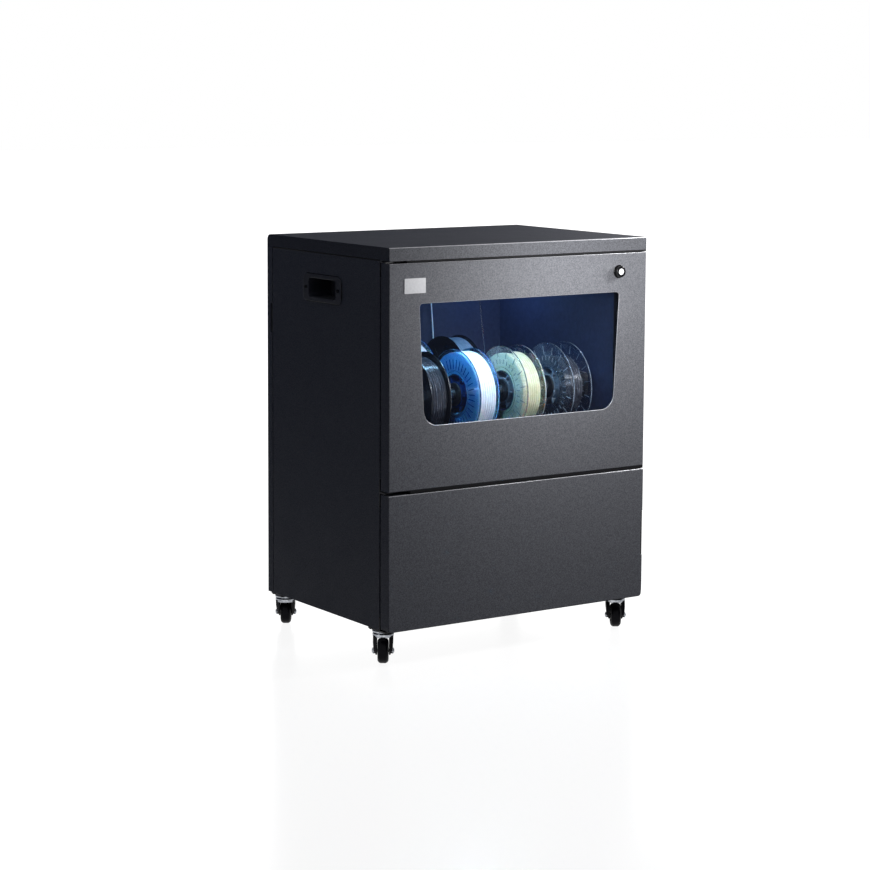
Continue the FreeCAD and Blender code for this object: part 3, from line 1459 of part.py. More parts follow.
def caster_fork(name):
    """Swivelling half of a caster: lower race, fork and axle with its nuts."""
    x, y, yaw = CASTERS[name]
    race_top = "(caster_height - caster_plate_thickness - race_height - race_gap)"
    crown_top = f"({race_top} - fork_race_height)"
    crown_under = f"({crown_top} - fork_crown)"
    across = "(fork_gap + 2 * fork_leg)"
    profile = [
        ("fork_half_length", crown_top), ("-fork_half_length", crown_top),
        ("-caster_trail - fork_foot", "wheel_radius + fork_foot / 2"),
        ("-caster_trail - fork_foot", "wheel_radius - fork_foot / 2"),
        ("-caster_trail - fork_foot / 2", "wheel_radius - fork_foot"),
        ("-caster_trail + fork_foot / 2", "wheel_radius - fork_foot"),
        ("-caster_trail + fork_foot", "wheel_radius - fork_foot / 2"),
        ("fork_half_length", crown_under),
    ]
    legs = plate(f"legs_{name}", "YZ", profile, across, (f"-{across} / 2", "0", "0"))
    race = rod(
        f"fork_race_{name}", "z", "0", "0", crown_under, "fork_race_radius", "fork_race_height + fork_crown",
    )
    gap = box(
        f"fork_gap_{name}", "-fork_gap / 2", "-2 * wheel_radius", "-cut_past", "fork_gap", "4 * wheel_radius",
        f"{crown_under} + cut_past",
    )
    king = rod(
        f"fork_bore_{name}", "z", "0", "0", "0", "kingpin_radius + kingpin_clearance", "caster_height",
    )
    seat = rod(
        f"fork_seat_{name}", "x", f"-{across}", "-caster_trail", "wheel_radius", "axle_radius + axle_fit",
        f"2 * {across}",
    )
    fork = cut(f"fork_{name}", fuse(f"fork_body_{name}", cut(f"fork_u_{name}", legs, gap), race), king, seat)
    outside = f"({across} / 2 + axle_fit)"
    shaft = rod(
        f"shaft_{name}", "x", f"-{outside} - nut_height", "-caster_trail", "wheel_radius", "axle_radius",
        f"2 * ({outside} + nut_height)",
    )
    nuts = [
        rod(f"nut_{name}", "x", start, "-caster_trail", "wheel_radius", "nut_radius", "nut_height")
        for start in (f"-{outside} - nut_height", outside)
    ]
    whole = group(f"swivel_{name}", [fork, fuse(f"axle_{name}", shaft, *nuts)])
    keep(f"caster_fork_{name}", place(whole, x, y, "0", Rotation(Vector(0, 0, 1), size(yaw))))


def caster_wheel(name):
    """Wheel with a rounded tread and dished sides, on its fork's axle."""
    x, y, yaw = CASTERS[name]
    half, dish = "(wheel_width / 2)", "(wheel_width / 2 - wheel_dish)"
    bore = "axle_radius + axle_clearance"
    body = turned(f"wheel_{name}", [
        (bore, f"-{half}"), ("wheel_hub_radius", f"-{half}"), ("wheel_hub_radius", f"-{dish}"),
        ("wheel_dish_radius", f"-{dish}"), ("wheel_dish_radius", f"-{half}"), ("wheel_radius", f"-{half}"),
        ("wheel_radius", half), ("wheel_dish_radius", half), ("wheel_dish_radius", dish),
        ("wheel_hub_radius", dish), ("wheel_hub_radius", half), (bore, half),
    ])
    turning = body.Tip
    edges = []
    for number, edge in enumerate(turning.Shape.Edges, start=1):
        if edge.Curve.TypeId == "Part::GeomCircle" and abs(edge.Curve.Radius - size("wheel_radius")) < 1e-6:
            edges.append(f"Edge{number}")
    tread = body.newObject("PartDesign::Fillet", f"tread_{name}")
    tread.Base = (turning, edges)
    bind(tread, "Radius", "tread_radius")
    turn = Rotation(Vector(0, 0, 1), size(yaw)) * TURN["x"]
    away = f"{yaw} * 1 deg"
    keep(f"caster_wheel_{name}", place(
        body, f"{x} + caster_trail * sin({away})", f"{y} - caster_trail * cos({away})", "wheel_radius", turn,
    ))


def build():
    """Makes every sub-part of the cabinet."""
    top_cover()
    for side in ("left", "right"):
        side_panel(side)
        handle_cup(side)
    rear_panel()
    rear_posts()
    base_pan()
    mid_shelf()
    chamber_liner()
    front_frame()
    door_gasket()
    upper_door()
    lower_door()
    latch()
    pivot_brackets()
    door_magnets()
    spool_rods()
    for number in REELS:
        reel(number)
        filament(number)
    filament_outlets()
    filament_strands()
    light_bar()
    humidity_sensor()
    dryer()
    control_board()
    power_inlet()
    cabinet_screws()
    caster_plates()
    for name in CASTERS:
        caster_fork(name)
        caster_wheel(name)


def check():
    """Stops if any object failed, or if a sub-part's shape is missing or not valid."""
    doc.recompute()
    faults = []
    for thing in doc.Objects:
        if "Invalid" in thing.State or "Error" in thing.State:
            faults.append(f"{thing.Name}: {thing.State}")
    for label, thing in PARTS.items():
        if thing.Shape.isNull() or not thing.Shape.isValid() or not thing.Shape.Solids:
            faults.append(f"{label}: bad shape")
    if faults:
        raise RuntimeError("; ".join(faults))


def write():
    """Writes each sub-part to its own file."""
    os.makedirs("parts", exist_ok=True)
    for label, thing in PARTS.items():
        thing.Shape.exportStep(f"parts/{label}.step")
    print(f"{len(PARTS)} sub-parts written")


build()
check()
write()
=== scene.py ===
"""A wheeled dry cabinet for filament reels: its finishes, its reels and windings, light and camera."""
import json
import math

import bmesh
import bpy
from mathutils import Matrix, Vector, noise

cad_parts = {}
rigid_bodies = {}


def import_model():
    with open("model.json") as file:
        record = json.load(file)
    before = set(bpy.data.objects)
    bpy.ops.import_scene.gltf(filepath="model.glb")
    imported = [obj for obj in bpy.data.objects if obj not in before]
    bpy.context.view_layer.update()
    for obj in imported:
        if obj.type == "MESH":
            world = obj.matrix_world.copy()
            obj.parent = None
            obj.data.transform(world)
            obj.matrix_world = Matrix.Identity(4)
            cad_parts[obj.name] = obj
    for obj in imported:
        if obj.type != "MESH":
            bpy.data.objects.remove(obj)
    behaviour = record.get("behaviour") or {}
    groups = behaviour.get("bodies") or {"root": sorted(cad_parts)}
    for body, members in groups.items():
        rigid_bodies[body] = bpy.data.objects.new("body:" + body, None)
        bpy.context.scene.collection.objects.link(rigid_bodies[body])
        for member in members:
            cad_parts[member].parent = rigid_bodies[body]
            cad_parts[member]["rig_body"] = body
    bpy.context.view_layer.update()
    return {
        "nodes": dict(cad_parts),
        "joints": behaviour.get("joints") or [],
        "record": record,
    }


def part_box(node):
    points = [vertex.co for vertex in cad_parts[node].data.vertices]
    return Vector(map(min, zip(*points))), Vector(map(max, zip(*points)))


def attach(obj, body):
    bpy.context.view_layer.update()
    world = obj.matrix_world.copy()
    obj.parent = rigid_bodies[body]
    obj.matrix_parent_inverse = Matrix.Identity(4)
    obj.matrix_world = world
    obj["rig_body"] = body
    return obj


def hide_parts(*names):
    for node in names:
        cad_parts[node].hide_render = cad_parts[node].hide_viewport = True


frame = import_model()

MM = 0.001
JOINTS = {joint["name"]: joint for joint in frame["joints"]}
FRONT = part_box("upper_door_skin")[0].y
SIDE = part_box("upper_door_skin")[1].x
CORNERS = ("front_left", "front_right", "rear_left", "rear_right")


# Colours and shader nodes

def linear(hex_colour):
    """An sRGB hex colour as linear RGBA."""
    parts = [int(hex_colour[k:k + 2], 16) / 255 for k in (0, 2, 4)]
    return [c / 12.92 if c <= 0.04045 else ((c + 0.055) / 1.055) ** 2.4 for c in parts] + [1.0]


def add(tree, kind, values=None, links=None, **settings):
    """Adds a node with its settings, its sockets' values and the outputs that feed its sockets."""
    made = tree.nodes.new(kind)
    for key, value in settings.items():
        setattr(made, key, value)
    for socket, value in (values or {}).items():
        made.inputs[socket].default_value = value
    for socket, output in (links or {}).items():
        tree.links.new(output, made.inputs[socket])
    return made


def shader_of(name, **sockets):
    """A new material and its main shader, with constant sockets set by name."""
    material = bpy.data.materials.new(name)
    material.use_nodes = True
    shader = material.node_tree.nodes["Principled BSDF"]
    for socket, value in sockets.items():
        shader.inputs[socket.replace("_", " ")].default_value = value
    return material, material.node_tree, shader


def speckled(material, tree, shader, dark, light, grain, bump, rough=None):
    """Colour that varies between two hex values, with a raised grain, at a size in millimetres."""
    place = add(tree, "ShaderNodeTexCoord").outputs["Object"]
    fleck = add(tree, "ShaderNodeTexNoise", {"Scale": 1 / (grain * MM), "Detail": 3.0, "Roughness": 0.6},
                {"Vector": place})
    spread = add(tree, "ShaderNodeMapRange", {"From Min": 0.32, "From Max": 0.68},
                 {"Value": fleck.outputs["Fac"]})
    tint = add(tree, "ShaderNodeMix", {"A": linear(dark), "B": linear(light)},
               {"Factor": spread.outputs["Result"]}, data_type="RGBA")
    tree.links.new(tint.outputs[2], shader.inputs["Base Color"])
    raised = add(tree, "ShaderNodeBump", {"Strength": bump, "Distance": 0.15 * MM},
                 {"Height": fleck.outputs["Fac"]})
    tree.links.new(raised.outputs["Normal"], shader.inputs["Normal"])
    if rough:
        low, high = rough
        worn = add(tree, "ShaderNodeTexNoise", {"Scale": 1 / (60 * MM), "Detail": 4.0}, {"Vector": place})
        gloss = add(tree, "ShaderNodeMapRange", {"To Min": low, "To Max": high},
                    {"Value": worn.outputs["Fac"]})
        tree.links.new(gloss.outputs["Result"], shader.inputs["Roughness"])
    return material


# Materials

def powder_coat(name, dark, light):
    """Polyester powder on steel, baked to a fine sand texture: dull grey with pale flecks. The real
    grit is near 0.4 mm and is drawn at 2.2 mm, so that it shows from a few steps away."""
    made = shader_of(name, IOR=1.45, Specular_IOR_Level=0.1)
    return speckled(*made, dark, light, 2.2, 1.4, (0.5, 0.62))


def edge_highlight():
    """A pale line on sheet-metal bends and cut edges: painted highlight, standing for the light that these
    rounded edges catch.
    """
    made = shader_of("painted_edge_highlight", Metallic=0.4)
    return speckled(*made, "9c9ca0", "bababe", 3.0, 0.1, (0.3, 0.42))


def black_paint():
    """Black baked paint on folded sheet, a little orange-peeled."""
    made = shader_of("black_baked_paint", IOR=1.5, Specular_IOR_Level=0.35)
    return speckled(*made, "101114", "1a1b1f", 5.0, 0.15, (0.42, 0.55))


def chamber_paint():
    """Dark blue satin paint inside the chamber, which takes up the light bar's colour."""
    made = shader_of("chamber_satin_paint", IOR=1.5, Specular_IOR_Level=0.3)
    return speckled(*made, "1b2236", "232b42", 9.0, 0.08, (0.5, 0.6))


def see_through(name, colour, roughness, ior):
    """Clear plastic: light from lamps passes straight through, and the eye sees it bend."""
    material, tree, shader = shader_of(
        name, Base_Color=linear(colour), Roughness=roughness, IOR=ior, Transmission_Weight=1.0,
    )
    ray = add(tree, "ShaderNodeLightPath")
    passing = add(tree, "ShaderNodeBsdfTransparent", {"Color": linear(colour)})
    both = add(tree, "ShaderNodeMixShader", None, {
        0: ray.outputs["Is Shadow Ray"], 1: shader.outputs["BSDF"], 2: passing.outputs["BSDF"],
    })
    tree.links.new(both.outputs["Shader"], tree.nodes["Material Output"].inputs["Surface"])
    return material


def moulded(name, dark, light, roughness, grain=1.5, bump=0.12, ior=1.5, gleam=0.5):
    """Injection-moulded plastic with the mould's faint texture and slightly uneven gloss."""
    made = shader_of(name, IOR=ior, Specular_IOR_Level=gleam)
    return speckled(*made, dark, light, grain, bump, (roughness - 0.05, roughness + 0.05))


def filament_plastic(name, dark, light, roughness, inside):
    """Extruded filament: glossy along its length, with light passing a little way in."""
    made = shader_of(
        name, IOR=1.46, Subsurface_Weight=inside, Subsurface_Scale=1.2 * MM, Coat_Weight=0.15,
        Coat_Roughness=0.12,
    )
    return speckled(*made, dark, light, 14.0, 0.04, (roughness - 0.04, roughness + 0.06))


def metal(name, dark, light, roughness, grain=2.0, bump=0.08):
    """Plated or bare metal with fine marks in its gloss."""
    made = shader_of(name, Metallic=1.0)
    return speckled(*made, dark, light, grain, bump, (roughness - 0.05, roughness + 0.08))


def diffuser():
    """Milky acrylic over a row of cold white diodes."""
    material, tree, shader = shader_of("milky_diffuser", Roughness=0.4)
    made = speckled(material, tree, shader, "d9e8ff", "eef5ff", 6.0, 0.05)
    shader.inputs["Emission Color"].default_value = linear("8fc4ff")
    shader.inputs["Emission Strength"].default_value = 2.2
    return made


COAT = powder_coat("charcoal_powder_coat", "56575b", "7b7c81")
# Painted shade: the doors' coat darkened for the lid, to lower the lid's brightness. The lid itself looks
# much like the doors
SHADED_LID_COAT = powder_coat("lid_coat_painted_shade", "48494d", "6a6b70")
EDGE_HIGHLIGHT, BLACK_PAINT, CHAMBER = edge_highlight(), black_paint(), chamber_paint()
PANE = see_through("cast_acrylic_pane", "f2f6fb", 0.0, 1.49)
RUBBER = moulded("nitrile_rubber", "08080a", "0f0f12", 0.7, 2.0, 0.2, gleam=0.15)
TREAD = moulded("rubber_tread", "04040a", "0a0a12", 0.4, 3.0, 0.12, gleam=0.08)
ABS = moulded("black_abs", "0c0d10", "15161a", 0.5, 1.2, 0.15, gleam=0.3)
HANDLE = moulded("charcoal_abs", "3a3c44", "46484f", 0.45, 1.2, 0.15, gleam=0.2)
KNOB = moulded("gloss_black_abs", "060607", "0c0c0e", 0.18, 4.0, 0.03)
WHITE_CAP = moulded("white_abs", "e9e9ea", "f4f4f5", 0.3, 4.0, 0.03)
ENAMEL = moulded("white_enamel", "d2d2d4", "dcdcde", 0.32, 5.0, 0.04)
ZINC = metal("zinc_plated_steel", "8c8f95", "b3b6bc", 0.32)
CHROME = metal("bright_chrome", "7b7e84", "b4b7bc", 0.14, 6.0, 0.1)
STEEL = metal("ground_steel_tube", "9a9da3", "bdc0c5", 0.25, 1.0, 0.1)
ALLOY = metal("extruded_aluminium", "a9acb1", "c9ccd0", 0.38, 1.5, 0.1)
FERRITE = moulded("ferrite", "17171a", "232327", 0.6, 2.0, 0.2)
BOARD = moulded("green_solder_mask", "0b3d22", "125a33", 0.35, 4.0, 0.06)
LIGHT = diffuser()
FORK = moulded("black_electrocoat", "06060c", "0c0c14", 0.35, 3.0, 0.08, gleam=0.12)

# Millimetres: how thick filament is, and the room between a reel's flanges
FILAMENT = 2.85
REEL_ROOM = 46

# Reel number: its plastic, the colour of its ribs, rims and hub, its filament, the depth of the grooves
# between its ridges in millimetres, and its slots
REEL_BLACK = moulded("black_polystyrene", "08080a", "101013", 0.25, 8.0, 0.03, 1.59)
REEL_CLEAR = see_through("clear_polystyrene", "eef3f8", 0.03, 1.59)
REEL_BLUE = see_through("blue_polystyrene", "9acaea", 0.06, 1.59)
# Painted light and shade: the ribs, rims and hub of the blue and clear reels are opaque colours that stand
# for how their clear plastic catches and bends light
BLUE_RIB_SHADE = moulded("blue_rib_painted_shade", "0b2a5c", "123a78", 0.2, 6.0, 0.03, 1.59)
GREY_RIB_LIGHT_AND_SHADE = moulded("grey_rib_painted_light_and_shade", "5b6068", "7c828a", 0.15, 6.0, 0.03, 1.59)
PALE_RIB_HIGHLIGHT = moulded("pale_rib_painted_highlight", "66727f", "8b97a4", 0.12, 6.0, 0.03, 1.59)
# Painted sheen: the black filament is drawn dark grey, lighter than its own black, to stand for the glints
# along its ridges
PLA_BLACK_WITH_SHEEN = filament_plastic("black_pla_painted_sheen", "34343a", "48484f", 0.16, 0.0)
PLA_WHITE = filament_plastic("white_pla", "d6dade", "e6e9ec", 0.35, 0.3)
PLA_NATURAL = filament_plastic("natural_pla", "bdb893", "cdc8aa", 0.3, 0.4)
PLA_CLEAR = see_through("clear_pla", "c9d2da", 0.1, 1.46)
PLA_FROST = filament_plastic("frosted_pla", "ccd4db", "dfe5ea", 0.25, 0.3)
PLA_ICE = filament_plastic("grey_blue_pla", "62798f", "7c93a8", 0.35, 0.2)
REELS = {
    1: (REEL_BLACK, REEL_BLACK, PLA_BLACK_WITH_SHEEN, 3.4, "reel_black", "filament_black"),
    2: (REEL_BLUE, BLUE_RIB_SHADE, PLA_WHITE, 1.4, "reel_blue", "filament_white"),
    3: (REEL_CLEAR, GREY_RIB_LIGHT_AND_SHADE, PLA_NATURAL, 1.2, "reel_clear", "filament_natural"),
    4: (REEL_CLEAR, PALE_RIB_HIGHLIGHT, PLA_BLACK_WITH_SHEEN, 3.4, "reel_clear", "filament_black"),
    5: (REEL_BLUE, BLUE_RIB_SHADE, PLA_WHITE, 1.4, "reel_blue", "filament_white"),
    6: (REEL_BLACK, REEL_BLACK, PLA_ICE, 1.8, "reel_black", "filament_ice"),
}


# Shaping

def piece(name, bm, body, slot, *materials, nodes=(), angle=35):
    """Makes an object of a bmesh, gives it its materials, and lets it ride on its body. Broad faces
    are flat, so that a rounded edge doesn't shade them."""
    rounded = [face.calc_area() < 4 * MM * face.calc_perimeter() for face in bm.faces]
    mesh = bpy.data.meshes.new(name)
    bm.to_mesh(mesh)
    bm.free()
    for material in materials:
        mesh.materials.append(material)
    mesh.set_sharp_from_angle(angle=math.radians(angle))
    mesh.polygons.foreach_set("use_smooth", rounded)
    made = bpy.data.objects.new(name, mesh)
    bpy.context.scene.collection.objects.link(made)
    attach(made, body)
    if nodes:
        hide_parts(*nodes)


def body_of(node):
    """The body that a CAD node belongs to."""
    return frame["nodes"][node]["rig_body"]


def slot_of(node):
    """The record's material slot of a CAD node."""
    return next(each["material_slot"] for each in frame["record"]["subparts"] if each["node"] == node)


def merged_copy(node):
    """A CAD node's mesh with its triangles joined into whole faces."""
    bm = bmesh.new()
    bm.from_mesh(frame["nodes"][node].data)
    bmesh.ops.remove_doubles(bm, verts=bm.verts, dist=0.004 * MM)
    bmesh.ops.dissolve_limit(
        bm, angle_limit=math.radians(0.5), verts=bm.verts, edges=bm.edges, use_dissolve_boundaries=False,
    )
    return bm


def sharp_edges(bm, test, least=40):
    """The edges that turn outwards by more than a number of degrees and pass a test of their middle."""
    found = []
    for edge in bm.edges:
        if len(edge.link_faces) == 2 and edge.calc_face_angle_signed(0) > math.radians(least):
            if test((edge.verts[0].co + edge.verts[1].co) / 2):
                found.append(edge)
    return found


def soften(bm, edges, width, segments=3, material=-1):
    """Rounds edges to a width in millimetres."""
    bmesh.ops.bevel(
        bm, geom=edges, offset=width * MM, offset_type="OFFSET", segments=segments, profile=0.5,
        affect="EDGES", clamp_overlap=False, material=material,
    )


def dressed(node, material, width=0, segments=2, test=lambda middle: True):
    """A copy of a CAD node with its outer edges rounded, which stands for that node."""
    bm = merged_copy(node)
    if width:
        soften(bm, sharp_edges(bm, test), width, segments)
    piece(f"{node}_dressed", bm, body_of(node), slot_of(node), material, nodes=[node])


def painted(node, material):
    """A CAD node whose shape is right, in a better material."""
    slots = frame["nodes"][node].data.materials
    slots.clear()
    slots.append(material)


def spin_round(bm, outline, steps, closed=True):
    """Spins an outline of (along X, radius) in millimetres about the X axis."""
    ring = [bm.verts.new((along * MM, radius * MM, 0)) for along, radius in outline]
    pairs = list(zip(ring, ring[1:] + ring[:1])) if closed else list(zip(ring, ring[1:]))
    edges = [bm.edges.new(pair) for pair in pairs]
    bmesh.ops.spin(
        bm, geom=ring + edges, cent=(0, 0, 0), axis=(1, 0, 0), angle=2 * math.pi, steps=steps,
        use_merge=True, use_duplicate=False,
    )


def bar(bm, size, matrix):
    """A block of a size in millimetres, set by a matrix."""
    scale = Matrix.Diagonal([side * MM for side in size] + [1])
    return bmesh.ops.create_cube(bm, size=1, matrix=matrix @ scale)["verts"]


def finish_shape(bm):
    """Joins doubled corners and turns every face outwards."""
    bmesh.ops.remove_doubles(bm, verts=bm.verts, dist=0.001 * MM)
    bmesh.ops.recalc_face_normals(bm, faces=bm.faces)


# Cabinet shell and doors

def near(value, target, reach=0.05):
    """True where a coordinate lies on a plane, within a few hundredths of a millimetre."""
    return abs(value - target) < reach * MM


def door_skin(node, bend=1.8):
    """A door with bent edges at its front. The cut round its window or pull, and the top of its front bend,
    show a pale line of painted highlight.
    """
    low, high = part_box(node)
    bm = merged_copy(node)
    faces = [face for face in bm.faces if near(face.calc_center_median().y, FRONT) and face.normal.y < -0.9]
    rim = {edge for face in faces for edge in face.edges if abs(edge.calc_face_angle_signed(0)) > 0.5}

    def outer(edge):
        middle = (edge.verts[0].co + edge.verts[1].co) / 2
        sides = min(middle.x - low.x, high.x - middle.x, middle.z - low.z, high.z - middle.z)
        return sides < 3 * MM and not (node == "lower_door_skin" and in_pull(middle))

    # Painted highlight: the rounded cuts and the top of the front bend take the pale edge colour
    cuts = [edge for edge in rim if not outer(edge)]
    soften(bm, cuts, 0.7 if node == "upper_door_skin" else 0.4, 2, material=1)
    bends = [edge for edge in rim if edge.is_valid and outer(edge)]
    soften(bm, bends, bend)
    for face in bm.faces:
        middle = face.calc_center_median()
        top = middle.z > high.z - bend * MM and face.normal.z > 0.3
        if top and middle.y < FRONT + bend * MM and middle.x > low.x + 4 * MM:
            face.material_index = 1
    piece(f"{node}_dressed", bm, body_of(node), slot_of(node), COAT, EDGE_HIGHLIGHT, nodes=[node])


def in_pull(middle):
    """True beside the finger pull's cut in the lower door."""
    low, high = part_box("finger_pull_cup")
    return low.z < middle.z < high.z and middle.x > low.x


def cover():
    """The folded top, with softened side edges."""
    low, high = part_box("top_cover")

    def outer(middle):
        side = near(abs(middle.x), SIDE) and middle.z > low.z + 1 * MM
        return side or (near(middle.z, high.z) and middle.y < 0)

    bm = merged_copy("top_cover")
    soften(bm, sharp_edges(bm, outer), 0.9, 3)
    # Painted highlight: the faces of the front bend take the pale edge colour
    for face in bm.faces:
        middle = face.calc_center_median()
        if middle.y < FRONT + 2 * MM and 0.3 < face.normal.z < 0.95:
            face.material_index = 1
    # The lid takes the doors' coat darkened, as painted shade
    piece("top_cover_dressed", bm, "cabinet", slot_of("top_cover"), SHADED_LID_COAT, EDGE_HIGHLIGHT, nodes=["top_cover"])


def shell():
    """Side and rear panels, handles and trim."""
    for side, out in (("left", -1), ("right", 1)):
        # Each handle gets a black line of painted shade round its flange
        handle_shade_line(side, out)
        node = f"{side}_side_panel"
        edge_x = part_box(node)[0 if side == "left" else 1].x
        dressed(node, COAT, 0.8, 3, lambda middle, x=edge_x: near(middle.x, x))
        dressed(f"{side}_handle_cup", HANDLE, 0.9, 3, lambda middle: abs(middle.x) > SIDE + 2.5 * MM)
    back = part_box("rear_panel")[1].y
    dressed("rear_panel", COAT, 0.8, 3, lambda middle: near(middle.y, back) and abs(middle.x) > SIDE - 1 * MM)
    badge_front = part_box("badge_plate")[0].y
    dressed("badge_plate", ENAMEL, 0.25, 2, lambda middle: near(middle.y, badge_front))
    dressed("finger_pull_cup", ABS)


def handle_shade_line(side, out):
    """A black strip round a handle's flange, where it meets the panel: painted shade, standing for the dark
    line along the flange's edge.
    """
    low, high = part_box(f"{side}_handle_cup")
    middle, wide, tall = (low + high) / 2, (high.y - low.y) / MM, (high.z - low.z) / MM
    x = out * (SIDE + 0.6 * MM)
    line, corners = 1.6, 22
    bm = bmesh.new()
    for way in (-1, 1):
        beside = way * 0.6 * MM
        height = middle.z + way * tall / 2 * MM + beside
        depth = middle.y + way * wide / 2 * MM + beside
        bar(bm, (1, wide - corners, line), Matrix.Translation((x, middle.y, height)))
        bar(bm, (1, line, tall - corners), Matrix.Translation((x, depth, middle.z)))
    piece(f"{side}_handle_shade_line", bm, "cabinet", "black_rubber", RUBBER)


def latch():
    """Knob, bezel and cap of the upper door's latch."""
    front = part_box("latch_housing")[0].y
    dressed("latch_housing", KNOB, 0.5, 3, lambda middle: near(middle.y, front))
    dressed("latch_knob", KNOB, 0.35, 2, lambda middle: middle.y < FRONT - 2.5 * MM)
    cap_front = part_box("knob_cap")[0].y
    dressed("knob_cap", WHITE_CAP, 0.4, 3, lambda middle: near(middle.y, cap_front))
    painted("latch_bolt", ZINC)


def strip(name, body, slot, material, low, high, width):
    """A straight strip with rounded edges, between two corners in millimetres."""
    bm = bmesh.new()
    middle = [(a + b) / 2 * MM for a, b in zip(low, high)]
    bar(bm, [b - a for a, b in zip(low, high)], Matrix.Translation(middle))
    soften(bm, bm.edges[:], width)
    piece(name, bm, body, slot, material)


def gap_shades_and_pull_lip():
    """Black strips that fill the gaps over the doors and the seams under the lid's sides, as painted shade
    for the dark of those gaps, and the lip of the finger pull."""
    front, right = -253.6, 344.8
    over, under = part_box("upper_door_skin")[1].z / MM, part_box("lower_door_skin")[1].z / MM
    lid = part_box("top_cover")[0].z / MM
    # Painted shade: black strips set into the gaps, nearly flush with the front
    strip("lid_gap_shade", "cabinet", "black_rubber", RUBBER, (-300, front, over + 1.2), (right, -227, lid), 0.6)
    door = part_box("upper_door_skin")[0].z / MM
    strip("door_gap_shade", "upper_door", "black_rubber", RUBBER, (-290, front, under + 1.6),
          (right, -228, door), 0.6)
    for side, out in (("left", -1), ("right", 1)):
        ends = sorted((out * 343, out * (SIDE / MM + 0.1)))
        strip(f"lid_seam_shade_{side}", "cabinet", "black_rubber", RUBBER, (ends[0], -217, lid - 1.5),
              (ends[1], 230, lid + 1.5), 0.2)
    strip("pull_lip", "lower_door", "black_plastic", ABS, (340.6, -253.9, 173.4),
          (344.7, -251.6, 274.6), 0.5)


# Reels and filament

def reel_parts(bm, ribs):
    """A reel about the X axis: flanges with a rim, a barrel, a bore ring on spokes, and raised ribs."""
    spin_round(bm, [
        (-26, 41.5), (-26, 50), (-26.6, 50.6), (-26.6, 52.4), (-26, 53), (-26, 96), (-26.4, 97),
        (-26.4, 99.2), (-25.6, 100), (-24, 100), (-23.2, 99.2), (-23.2, 97), (-23, 96), (-23, 45),
        (23, 45), (23, 96),
        (23.2, 97), (23.2, 99.2), (24, 100), (25.6, 100), (26.4, 99.2), (26.4, 97), (26, 96), (26, 53),
        (26.6, 52.4), (26.6, 50.6), (26, 50), (26, 41.5),
    ], 96)
    spin_round(bm, [(-26, 26), (-26, 29.5), (26, 29.5), (26, 26)], 48)
    for k in range(6):
        turn = Matrix.Rotation(math.tau * k / 6, 4, "X")
        bar(bm, (50, 13, 4.5), turn @ Matrix.Translation((0, 35.5 * MM, 0)))
    plain = {face for face in bm.faces if face.calc_center_median().yz.length > 44 * MM}
    for count, inner, outer in ribs:
        for k in range(count):
            turn = Matrix.Rotation(math.tau * (k + 0.5) / count, 4, "X")
            for side in (-1, 1):
                at = Matrix.Translation((side * 26.4 * MM, (inner + outer) / 2 * MM, 0))
                bar(bm, (0.8, outer - inner, 1.5), turn @ at)
    # Rims, ribs, bore ring and spokes take the second material, which is painted light and shade on the blue
    # and clear reels
    for face in bm.faces:
        rim = face.calc_center_median().yz.length > 99.8 * MM
        face.material_index = int(rim or face not in plain)


def winding(bm, radius, rough, seed):
    """One unbroken helix of filament, whose turns sit high and low in ridges as they do on a reel."""
    thick, turns, steps, sides = FILAMENT, 15, 72, 8
    pitch = (REEL_ROOM - thick - 0.6) / turns
    rings = []
    for step in range(turns * steps + 1):
        turned, along = math.tau * step / steps, pitch * (step / steps - turns / 2)
        drawn = Vector((along / 9, 0.8 * math.cos(turned), 0.8 * math.sin(turned) + 7.3 * seed))
        sway = noise.noise(drawn)
        ridge = 0.5 - 0.5 * math.cos(math.tau * along / (2 * thick) + 3 * sway)
        middle = radius - thick / 2 - rough * (0.7 * ridge + 0.3 * abs(sway))
        ring = []
        for k in range(sides):
            out = middle + thick / 2 * math.sin(math.tau * k / sides)
            aside = along + thick / 2 * math.cos(math.tau * k / sides)
            spot = Vector((aside, out * math.cos(turned), out * math.sin(turned)))
            ring.append(bm.verts.new(spot * MM))
        rings.append(ring)
    for before, after in zip(rings, rings[1:]):
        for k in range(sides):
            bm.faces.new((before[k - 1], before[k], after[k], after[k - 1]))
    bm.faces.new(rings[0])
    bm.faces.new(rings[-1])


def inner_layers(bm, radius):
    """The filament under the outer layer, whose sides show the edge of every layer."""
    steps = int((radius - 45.5) / 1.42)
    side = [(22.7 - 0.5 * (k % 2), 45.3 + (radius - 45.3) * k / steps) for k in range(steps + 1)]
    other = [(-along, out) for along, out in reversed(side)]
    spin_round(bm, side + other, 96)


def reel(number):
    """A reel and its filament, which stand for the reel's CAD node and its winding."""
    plastic, rib, filament, rough, plastic_slot, filament_slot = REELS[number]
    centre = Matrix.Translation(JOINTS[f"spool_{number}_spin"]["pos_m"])
    low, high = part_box(f"filament_{number}")
    radius = (high.z - low.z) / 2 / MM
    ribs = [(32, 60, 70), (16, 74, 92)] if plastic == REEL_CLEAR else [(36, 56, 78)]
    shapes = [
        (f"reel_{number}_shell", lambda bm: reel_parts(bm, ribs), plastic_slot, (plastic, rib),
         f"reel_{number}"),
        (f"reel_{number}_inner_layers", lambda bm: inner_layers(bm, radius - 3.6), filament_slot,
         (filament,), None),
        (f"reel_{number}_winding", lambda bm: winding(bm, radius, rough, number), filament_slot,
         (filament,), f"filament_{number}"),
    ]
    for name, shape, slot, materials, node in shapes:
        bm = bmesh.new()
        shape(bm)
        finish_shape(bm)
        bmesh.ops.transform(bm, matrix=centre, verts=bm.verts)
        piece(name, bm, f"spool_{number}", slot, *materials, nodes=[node] if node else ())


